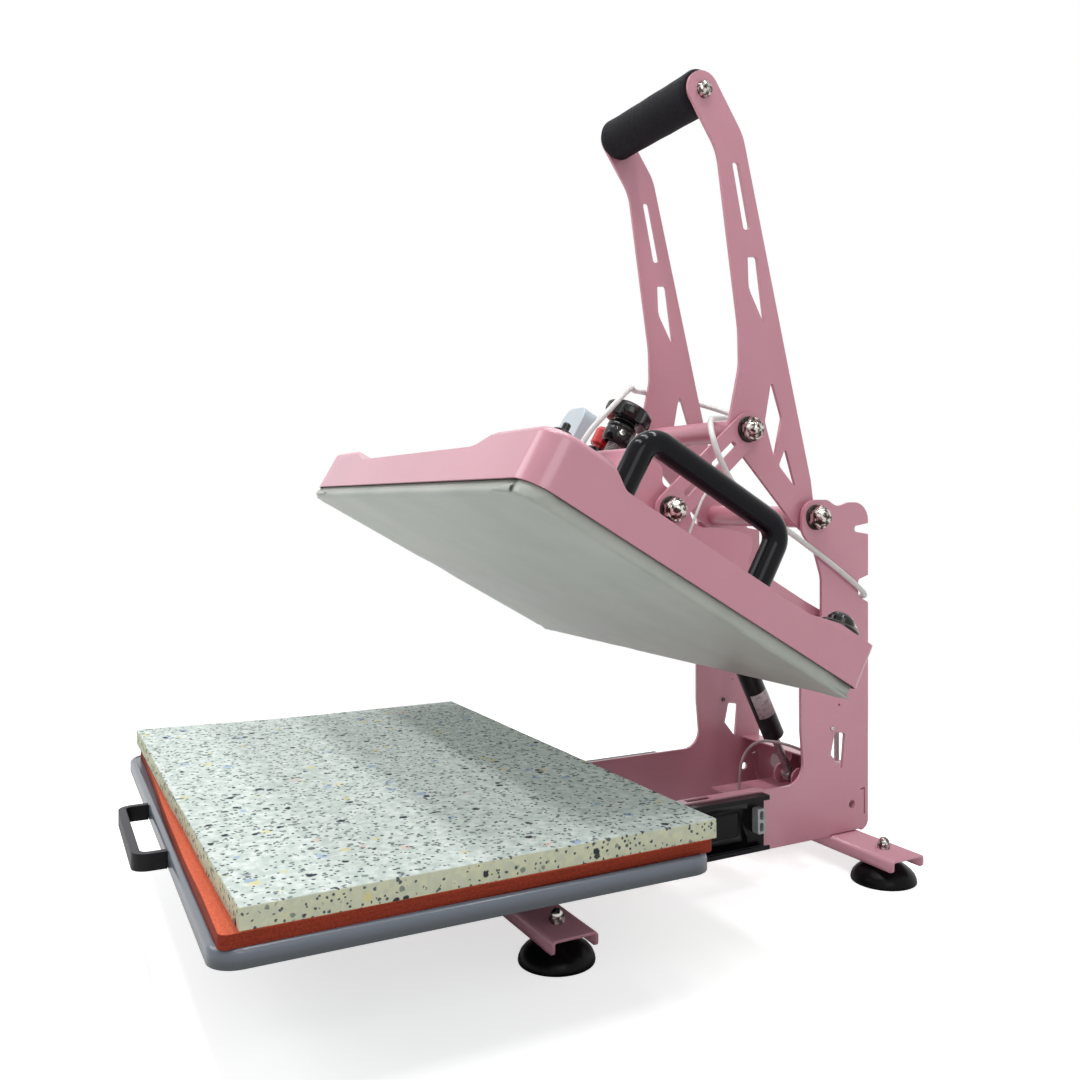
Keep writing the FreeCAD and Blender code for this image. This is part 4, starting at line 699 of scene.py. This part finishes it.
# Side handles: two D-shaped loops of 24 mm tube in glossy black enamel. Both ends of each go down
# to the top of the cover.
gloss_black, at = new_finish("black_enamel")
finish_with(gloss_black, {
    "Base Color": at.noise(30, 3).between(paint(10, 11, 14), paint(19, 20, 25)),
    "Roughness": 0.14,
    "Specular IOR Level": 0.1,
    "Coat Weight": 0.1,
    "Coat Roughness": 0.04,
}, at.noise(160, 3) * 0.00004)
tube_radius, bend = 0.0122, 0.0185
foot_near, foot_far = 0.0955, 0.267
bar_high, foot_high = 0.1155, 0.047
loop_side = 0.262
for side, sign in (("right", 1), ("left", -1)):
    bpy.ops.object.select_all(action="DESELECT")
    bpy.ops.mesh.primitive_circle_add(vertices=36, radius=tube_radius, fill_type="NGON",
                                      location=(0, foot_near, foot_high))
    loop = bpy.context.object
    loop.name = f"d_handle_{side}"
    bpy.ops.object.transform_apply(location=True, rotation=True, scale=True)
    bpy.ops.object.mode_set(mode="EDIT")
    bpy.ops.mesh.extrude_region_move(
        TRANSFORM_OT_translate={"value": (0, 0, bar_high - bend - foot_high)})
    bpy.ops.mesh.spin(steps=10, angle=math.radians(90), axis=(1, 0, 0),
                      center=(0, foot_near + bend, bar_high - bend))
    bpy.ops.mesh.extrude_region_move(
        TRANSFORM_OT_translate={"value": (0, foot_far - foot_near - 2 * bend, 0)})
    bpy.ops.mesh.spin(steps=10, angle=math.radians(90), axis=(1, 0, 0),
                      center=(0, foot_far - bend, bar_high - bend))
    bpy.ops.mesh.extrude_region_move(
        TRANSFORM_OT_translate={"value": (0, 0, foot_high - bar_high + bend)})
    close(loop, 40)
    settle(loop, on_platen(sign * loop_side, 0, 0))
    fit(loop, gloss_black, "platen", "tube_black", f"side_handle_{side}")

# Carrier: two flanges, a base and a bridge of pink 4 mm sheet that hang the platen from the main
# hinge shaft, tied by two black cross bars.
dress(pink, "carrier_flange_right", "carrier_flange_left", "carrier_base", "carrier_bridge")
dress(gloss_black, "carrier_cross_members")

# Turned steel parts: the hinge shaft, the pivot pins and the lock nut of the pressure stud, bright
# and left bare.
steel, at = new_finish("bright_steel")
lathe = at.noise(30, 3, (40, 1, 1))
finish_with(steel, {
    "Base Color": lathe.between(paint(150, 150, 152), paint(186, 186, 188)),
    "Metallic": 1.0,
    "Roughness": 0.2 + lathe * 0.2,
}, lathe * 0.00003, 0.0006)
dress(steel, "handle_pivot_pins", "main_shaft", "stud_nut", "link_foot_pins")

# Pressure stud: a bright steel screw that stands square to the platen, cut with a thread of 2 mm
# pitch. The knob sits on its top end.
thread_pitch = 0.002
threaded, at = new_finish("threaded_steel")
upward = PLATEN.to_3x3() @ Vector((0, 0, 1))
run = at.part(1) * upward.y + at.part(2) * upward.z
# The thread's roots are painted dark and its crests bright, as painted shade and painted highlight.
ridge = run.sum("SINE", run * (math.tau / thread_pitch))
finish_with(threaded, {
    "Base Color": ridge.fade(-0.9, 0.6).between(paint(86, 84, 82), paint(205, 204, 202)),
    "Metallic": 1.0,
    "Roughness": 0.22 + at.noise(80) * 0.15,
}, ridge * 0.00035)
dress(threaded, "pressure_stud")

# Pressure knob: a lobed grip moulded in black plastic, with a ribbed hub below the lobes. A chromed
# set screw in the hub holds it to the stud.
knob_plastic, at = new_finish("knob_plastic")
finish_with(knob_plastic, {
    "Base Color": at.noise(50, 3).between(paint(9, 9, 10), paint(18, 18, 20)),
    "Roughness": 0.17,
    "Specular IOR Level": 0.25,
    "Coat Weight": 0.25,
    "Coat Roughness": 0.06,
}, at.noise(240, 3) * 0.00004, 0.0008)
dress(knob_plastic, "pressure_knob")
knob_back, hub_high = 0.2, 0.184
hub = turn("knob_hub", [
    (0.0085, 0), (0.0130, 0.0004), (0.0158, 0.0024), (0.0172, 0.0052), (0.0176, 0.0090),
    (0.0176, 0.0150), (0.0166, 0.0176), (0.0176, 0.0192), (0.0176, 0.0225), (0.0162, 0.0250),
    (0.0120, 0.0262)], 72)
only(hub)
bpy.ops.object.mode_set(mode="EDIT")
pick(hub, "verts", lambda v: 0.009 < v.co.z < 0.0151 and round(math.degrees(
    math.atan2(v.co.y, v.co.x)) / 5) % 6 in (0, 1, 2))
bpy.ops.transform.resize(value=(0.95, 0.95, 1), center_override=(0, 0, 0.012))
close(hub, 30)
settle(hub, on_platen(0, knob_back, hub_high))
fit(hub, knob_plastic, "pressure_screw", "knob_black")
set_screw = turn("knob_set_screw", [
    (0.0044, 0), (0.0044, 0.0012), (0.0037, 0.0024), (0.0018, 0.0026), (0.0015, 0.0008)], 28)
set_screw_high, set_screw_out, set_screw_turn = 0.196, 0.0168, -18
settle(set_screw, on_platen(0, knob_back, set_screw_high)
       @ Matrix.Rotation(math.radians(set_screw_turn), 4, "Z")
       @ at_place(set_screw_out, 0, 0, 90, "Y"))
fit(set_screw, chrome, "pressure_screw", "chrome_nut")

# Controller: a box moulded in pale blue-grey plastic that rides on the platen. A dark window and
# three keys are on its front face, where the cover hides them from the camera.
housing, at = new_finish("housing_plastic")
finish_with(housing, {
    "Base Color": at.noise(20, 3).between(paint(188, 202, 209), paint(198, 212, 218)),
    "Roughness": 0.36,
}, at.noise(900) * 0.00003, 0.001)
dress(housing, "controller_housing", "key_down", "key_set", "key_up")
display, at = new_finish("display_glass")
finish_with(display, {
    "Base Color": at.noise(20, 3).between(paint(12, 16, 20), paint(20, 26, 32)),
    "Roughness": 0.08,
})
dress(display, "controller_display")

# Stop button: a red plastic cap in a black collar, behind the controller and to its left. It
# presses in.
red, at = new_finish("red_plastic")
finish_with(red, {
    "Base Color": at.noise(40, 3).between(paint(188, 20, 24), paint(208, 32, 32)),
    "Roughness": 0.25,
    "Coat Weight": 0.3,
}, at.noise(500) * 0.00002, 0.0006)
dress(red, "stop_button")
dress(knob_plastic, "stop_button_collar")

# Corner fitting: a small black plastic flange with a post, on the front right corner of the cover.
# The photograph doesn't show what it is for.
dress(knob_plastic, "corner_fitting")

# Cable gland: a ribbed black plastic dome on a flange in the rear right corner of the cover, with
# the chromed nut of its outlet behind it.
dress(knob_plastic, "cable_gland")
outlet_nut = turn("gland_outlet_nut", [
    (0.0050, 0), (0.0082, 0.0002), (0.0088, 0.0010), (0.0088, 0.0042), (0.0076, 0.0056),
    (0.0060, 0.0060)], 12)
settle(outlet_nut, on_platen(0.281, 0.3735, 0.0640, -62))
fit(outlet_nut, chrome, "platen", "chrome_nut")

# Handle: two slotted arms of 4 mm sheet, painted pink, with a chromed rod between their upper ends
# and two tubes lower down, the upper one carrying the links.
dress(pink, "handle_arm_right", "handle_arm_left", "lever_tubes")
dress(chrome, "grip_rod")

# Grip: a black foam sleeve pushed over the rod of the handle. It is a little uneven along its
# length and swollen at its ends.
grip_low, grip_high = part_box("foam_grip")
grip_half = grip_high.x
grip_radius = (grip_high.z - grip_low.z) / 2
grip_rings, bore_radius = 24, 0.006
end_flat, end_round = grip_radius - 0.004, grip_radius - 0.0012
sleeve_profile = [
    (bore_radius, -grip_half), (end_flat, -grip_half), (end_round, 0.0009 - grip_half)]
for ring in range(grip_rings + 1):
    reach = (ring / grip_rings * 2 - 1) * (grip_half - 0.0035)
    swell = 0.0006 * (abs(reach) / grip_half) ** 6 - 0.0004
    uneven = 0.0003 * noise.noise((reach * 40, 0, 0))
    sleeve_profile.append((grip_radius + swell + uneven, reach))
sleeve_profile += [
    (end_round, grip_half - 0.0009), (end_flat, grip_half), (bore_radius, grip_half)]
grip = turn("foam_sleeve", sleeve_profile, 56)
settle(grip, at_place(
    0, (grip_low.y + grip_high.y) / 2, (grip_low.z + grip_high.z) / 2, 90, "Y"))
grip_foam, at = new_finish("grip_foam")
pores = at.noise(900, 3)
finish_with(grip_foam, {
    "Base Color": pores.fade(0.35, 0.65).between(paint(16, 16, 20), paint(34, 33, 39)),
    "Roughness": 0.7,
    "Specular IOR Level": 0.12,
}, pores * 0.00022 + at.noise(60, 2) * 0.0003)
fit(grip, grip_foam, "lever", "grip_foam", "foam_grip")

# Links: two slotted bars cut from 4 mm sheet and painted pink. They run from the knee of the handle
# down to the carrier.
dress(pink, "toggle_link_right", "toggle_link_left")

# Cap nuts: domed chromed nuts on the pivots of handle and links, each over a dark washer 2 mm
# thick.


def cap_nut_finish(name, washer_face):
    """Chrome beyond the washer, which lies this far from the middle and is 2 mm thick."""
    material, at = new_finish(name)
    # The chrome's colour is painted with dark and bright patches, as painted reflections of the
    # room.
    painted_nut_reflection = at.noise(190, 2.5).fade(0.42, 0.58)
    beyond = at.sum("ABSOLUTE", at.part(0)).fade(washer_face + 0.002, washer_face + 0.0022)
    painted_reflected_chrome = painted_nut_reflection.between(paint(72, 62, 56), paint(214, 208, 202))
    return finish_with(material, {
        "Base Color": beyond.between(paint(60, 57, 54), painted_reflected_chrome),
        "Metallic": 1.0,
        "Roughness": 0.09 + (1 - beyond) * 0.25 + at.noise(60, 4) * 0.08,
    }, None, 0.0006)


for nuts, washer_face in (
        ("handle_pivot_nuts", 0.104), ("knee_nuts", 0.0993), ("link_foot_nuts", 0.099)):
    dress(cap_nut_finish(nuts, washer_face), nuts)

# Gas spring: a steel cylinder in black paint, whose eye hangs on a cross pin of the carrier, and a
# grey rod that stands in the fork of the base.
barrel, at = new_finish("gas_cylinder_paint")
finish_with(barrel, {
    "Base Color": at.noise(60, 4).between(paint(12, 12, 14), paint(26, 26, 29)),
    "Roughness": 0.34,
    "Specular IOR Level": 0.3,
    "Coat Weight": 0.05,
}, at.noise(500) * 0.00003, 0.0008)
dress(barrel, "gas_spring_cylinder")
rod_finish, at = new_finish("nitrided_rod")
finish_with(rod_finish, {
    "Base Color": at.noise(300, 3).between(paint(110, 106, 106), paint(166, 162, 162)),
    "Metallic": 0.9,
    "Roughness": 0.36,
}, at.noise(420, 3) * 0.00012, 0.0006)
dress(rod_finish, "gas_spring_rod")

# Spring label: a blank strip of paper glued round part of the cylinder. It has been scuffed to
# grey in patches.
spring_top, spring_foot = Vector((0, 0.275, 0.281)), Vector((0, 0.377, 0.080))
spring_run = (spring_foot - spring_top).normalized()
label_from, label_high, label_radius = 0.098, 0.034, 0.01365
label_paper, label_turn = 0.00015, 60
bpy.ops.object.select_all(action="DESELECT")
bpy.ops.mesh.primitive_cylinder_add(
    vertices=72, radius=label_radius, depth=label_high, end_fill_type="NOTHING")
label = bpy.context.object
label.name = "spring_label"
bpy.ops.object.mode_set(mode="EDIT")
pick(label, "faces", lambda f: not -5 < math.degrees(math.atan2(middle(f).y, middle(f).x)) < 100)
bpy.ops.mesh.delete(type="FACE")
close(label, 40, outward=False)
work(label, "SOLIDIFY", thickness=label_paper, offset=1)
settle(label, Matrix.Translation(spring_top + spring_run * (label_from + label_high / 2))
       @ spring_run.to_track_quat("Z", "X").to_matrix().to_4x4()
       @ Matrix.Rotation(math.radians(label_turn), 4, "Z"))
paper, at = new_finish("label_paper")
scuff = at.noise(260, 4)
finish_with(paper, {
    "Base Color": scuff.fade(0.45, 0.7).between(paint(190, 180, 182), paint(150, 140, 144)),
    "Roughness": 0.55,
}, scuff * 0.00006)
fit(label, paper, "gas_cylinder", "tube_black")

# Rear plug: a round plug moulded in white plastic, pushed from inside into a hole in the left half
# of the rear panel.
plastic, at = new_finish("white_plastic")
finish_with(plastic, {
    "Base Color": at.noise(40, 3).between(paint(214, 214, 212), paint(230, 230, 228)),
    "Roughness": 0.4,
}, at.noise(800) * 0.00002, 0.0008)
dress(plastic, "rear_plug")

# Supply cable: one white lead from the controller, thrown over the knee of the handle and led down
# the right side plate into the base.


def lead(name, route, diameter):
    """A flexible lead along a smooth line through its route."""
    curve = bpy.data.curves.new(name, "CURVE")
    curve.dimensions = "3D"
    curve.bevel_depth = diameter / 2
    curve.bevel_resolution = 5
    curve.resolution_u = 12
    curve.use_fill_caps = True
    spline = curve.splines.new("NURBS")
    spline.points.add(len(route) - 1)
    for point, place in zip(spline.points, route):
        point.co = (*place, 1)
    spline.order_u = 3
    spline.use_endpoint_u = True
    made = bpy.data.objects.new(name, curve)
    bpy.context.scene.collection.objects.link(made)
    return made


white_jacket, at = new_finish("white_jacket")
finish_with(white_jacket, {
    "Base Color": at.noise(30, 3).between(paint(206, 207, 204), paint(226, 227, 225)),
    "Roughness": 0.38,
}, at.noise(500) * 0.00003)

supply_route = [
    (0.024, 0.0327, 0.462), (0.046, 0.0327, 0.464), (0.048, 0.045, 0.500), (0.040, 0.087, 0.536),
    (0.008, 0.131, 0.564), (-0.058, 0.176, 0.567), (-0.118, 0.225, 0.574), (-0.118, 0.312, 0.564),
    (-0.060, 0.345, 0.541), (-0.012, 0.288, 0.534), (0.025, 0.236, 0.530), (0.064, 0.203, 0.524),
    (0.107, 0.171, 0.509), (0.119, 0.173, 0.478), (0.117, 0.200, 0.440), (0.110, 0.252, 0.412),
    (0.1078, 0.339, 0.362), (0.108, 0.385, 0.331), (0.106, 0.404, 0.317), (0.092, 0.404, 0.316),
    (0.076, 0.399, 0.300), (0.066, 0.395, 0.262), (0.064, 0.394, 0.205), (0.067, 0.3925, 0.150),
    (0.067, 0.3925, 0.112),
]
supply_thick = 0.0066
supply_cable = lead("supply_cable", supply_route, supply_thick)
bare_line = supply_cable.data.copy()
bare_line.bevel_depth = 0
line_holder = bpy.data.objects.new("supply_line", bare_line)
supply_line = [v.co.copy() for v in bpy.data.meshes.new_from_object(line_holder).vertices]
bpy.data.objects.remove(line_holder)
only(supply_cable)
bpy.ops.object.convert(target="MESH")
supply_cable = bpy.context.object
bpy.ops.object.shade_smooth()
supply_cable.data.materials.append(white_jacket)
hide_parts("main_cable")
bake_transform(supply_cable)

# Sensor lead: a thin white lead that stands bowed between the cover and the carrier. Both ride on
# the platen, so it keeps its shape.
sensor_route = [
    (0.110, 0.1094, 0.3416), (0.110, 0.1222, 0.3643), (0.112, 0.137, 0.391), (0.113, 0.148, 0.418),
    (0.112, 0.160, 0.441), (0.1125, 0.183, 0.459),
]
sensor_thick = 0.0032
sensor_lead = lead("sensor_lead", sensor_route, sensor_thick)
fit(sensor_lead, white_jacket, "platen", "cable_white", "heater_cable")

# Inner lead: a thin lead in a clear jacket gone pinkish, arched over the floor of the base to the
# rear panel.
clear_jacket, at = new_finish("clear_jacket")
finish_with(clear_jacket, {
    "Base Color": at.noise(30, 3).between(paint(150, 134, 138), paint(190, 178, 180)),
    "Roughness": 0.25,
    "Coat Weight": 0.4,
}, at.noise(500) * 0.00003)
inner_route = [
    (-0.030, 0.318, 0.062), (-0.030, 0.318, 0.090), (-0.024, 0.325, 0.114), (0, 0.325, 0.130),
    (0.025, 0.330, 0.134), (0.048, 0.346, 0.129), (0.057, 0.374, 0.113), (0.060, 0.388, 0.086),
    (0.060, 0.404, 0.086),
]
inner_thick = 0.0036
inner_lead = lead("inner_lead", inner_route, inner_thick)
fit(inner_lead, clear_jacket, "frame", "cable_white", "inner_cable")

# Studio floor: a plain pale sheet that glows a little in the camera's view, so that it stays even,
# and turns into white away from the press.
floor_wide, floor_glow, white_from, white_to = 14, 0.66, 0.7, 1.25
bpy.ops.object.select_all(action="DESELECT")
bpy.ops.mesh.primitive_plane_add(size=floor_wide, location=(0, 0, 0))
floor = bpy.context.object
floor.name = "studio_floor"
floor_paint, at = new_finish("studio_floor")
tree = floor_paint.node_tree
seen = at.node("LightPath", output=0)
mirrored = at.sum("MAXIMUM", at.node("LightPath", output=3), at.node("LightPath", output=6))
looked_at = at.sum("MAXIMUM", seen, mirrored)
far_off = at.node("VectorMath", {"operation": "LENGTH"}, {0: at}, output=1).fade(
    white_from, white_to)
shader = tree.nodes["Principled BSDF"]
shader.inputs["Base Color"].default_value = (0.82, 0.82, 0.82, 1)
shader.inputs["Roughness"].default_value = 0.95
shader.inputs["Specular IOR Level"].default_value = 0.1
tree.links.new(seen.between((0, 0, 0, 1), (1, 1, 1, 1)).socket, shader.inputs["Emission Color"])
shader.inputs["Emission Strength"].default_value = floor_glow
white = at.node("Emission", {}, {"Color": (1, 1, 1, 1), "Strength": 1.0})
both = at.node("MixShader", {}, {0: looked_at * far_off, 1: Flow(tree, shader.outputs[0]), 2: white})
tree.links.new(both.socket, tree.nodes["Material Output"].inputs["Surface"])
floor.data.materials.append(floor_paint)

# Studio light: a white room that lights the press only weakly, one soft lamp at the front left, one
# on the right and three soft strips under the ceiling.
world = bpy.data.worlds.new("studio")
bpy.context.scene.world = world
world.use_nodes = True
sky = Flow(world.node_tree)
rays = [sky.node("LightPath", output=ray) for ray in (0, 3, 6)]
open_view = sky.sum("MAXIMUM", rays[0], sky.sum("MAXIMUM", rays[1], rays[2]))
ambient = 0.30
backdrop = world.node_tree.nodes["Background"]
backdrop.inputs["Color"].default_value = (1, 1, 1, 1)
world.node_tree.links.new((open_view * (1 - ambient) + ambient).socket, backdrop.inputs["Strength"])


def lamp(name, place, aim, size, power):
    """A rectangular soft lamp turned toward the press."""
    light = bpy.data.lights.new(name, "AREA")
    light.shape = "RECTANGLE"
    light.size, light.size_y = size
    light.energy = power
    made = bpy.data.objects.new(name, light)
    bpy.context.scene.collection.objects.link(made)
    made.location = place
    made.rotation_euler = (Vector(aim) - Vector(place)).to_track_quat("-Z", "Y").to_euler()


press_middle = (0, 0, 0.4)
lamp("front_lamp", (-1.2, -1.9, 1.8), press_middle, (1.4, 1.2), 18)
lamp("side_lamp", (2.2, -0.5, 1.5), press_middle, (1.0, 1.0), 8)
for strip in range(3):
    along = -0.7 + 0.7 * strip
    lamp(f"ceiling_strip_{strip + 1}", (0.1, along, 2.3), (0.1, along, 0), (1.8, 0.16), 15)

# Camera: at the front right and at the height of the open platen, where the photograph was taken
# from. It looks level, and its lens is shifted a little.
eye = bpy.data.cameras.new("camera")
eye.sensor_width = 36
eye.lens = 34.29
eye.shift_x = -0.0325
eye.shift_y = -0.0353
camera = bpy.data.objects.new("camera", eye)
bpy.context.scene.collection.objects.link(camera)
camera.location = (1.01655, -0.5047, 0.430)
camera.rotation_euler = (math.radians(90), 0, math.radians(60.89))
bpy.context.scene.camera = camera
bpy.context.scene.view_settings.view_transform = "Standard"
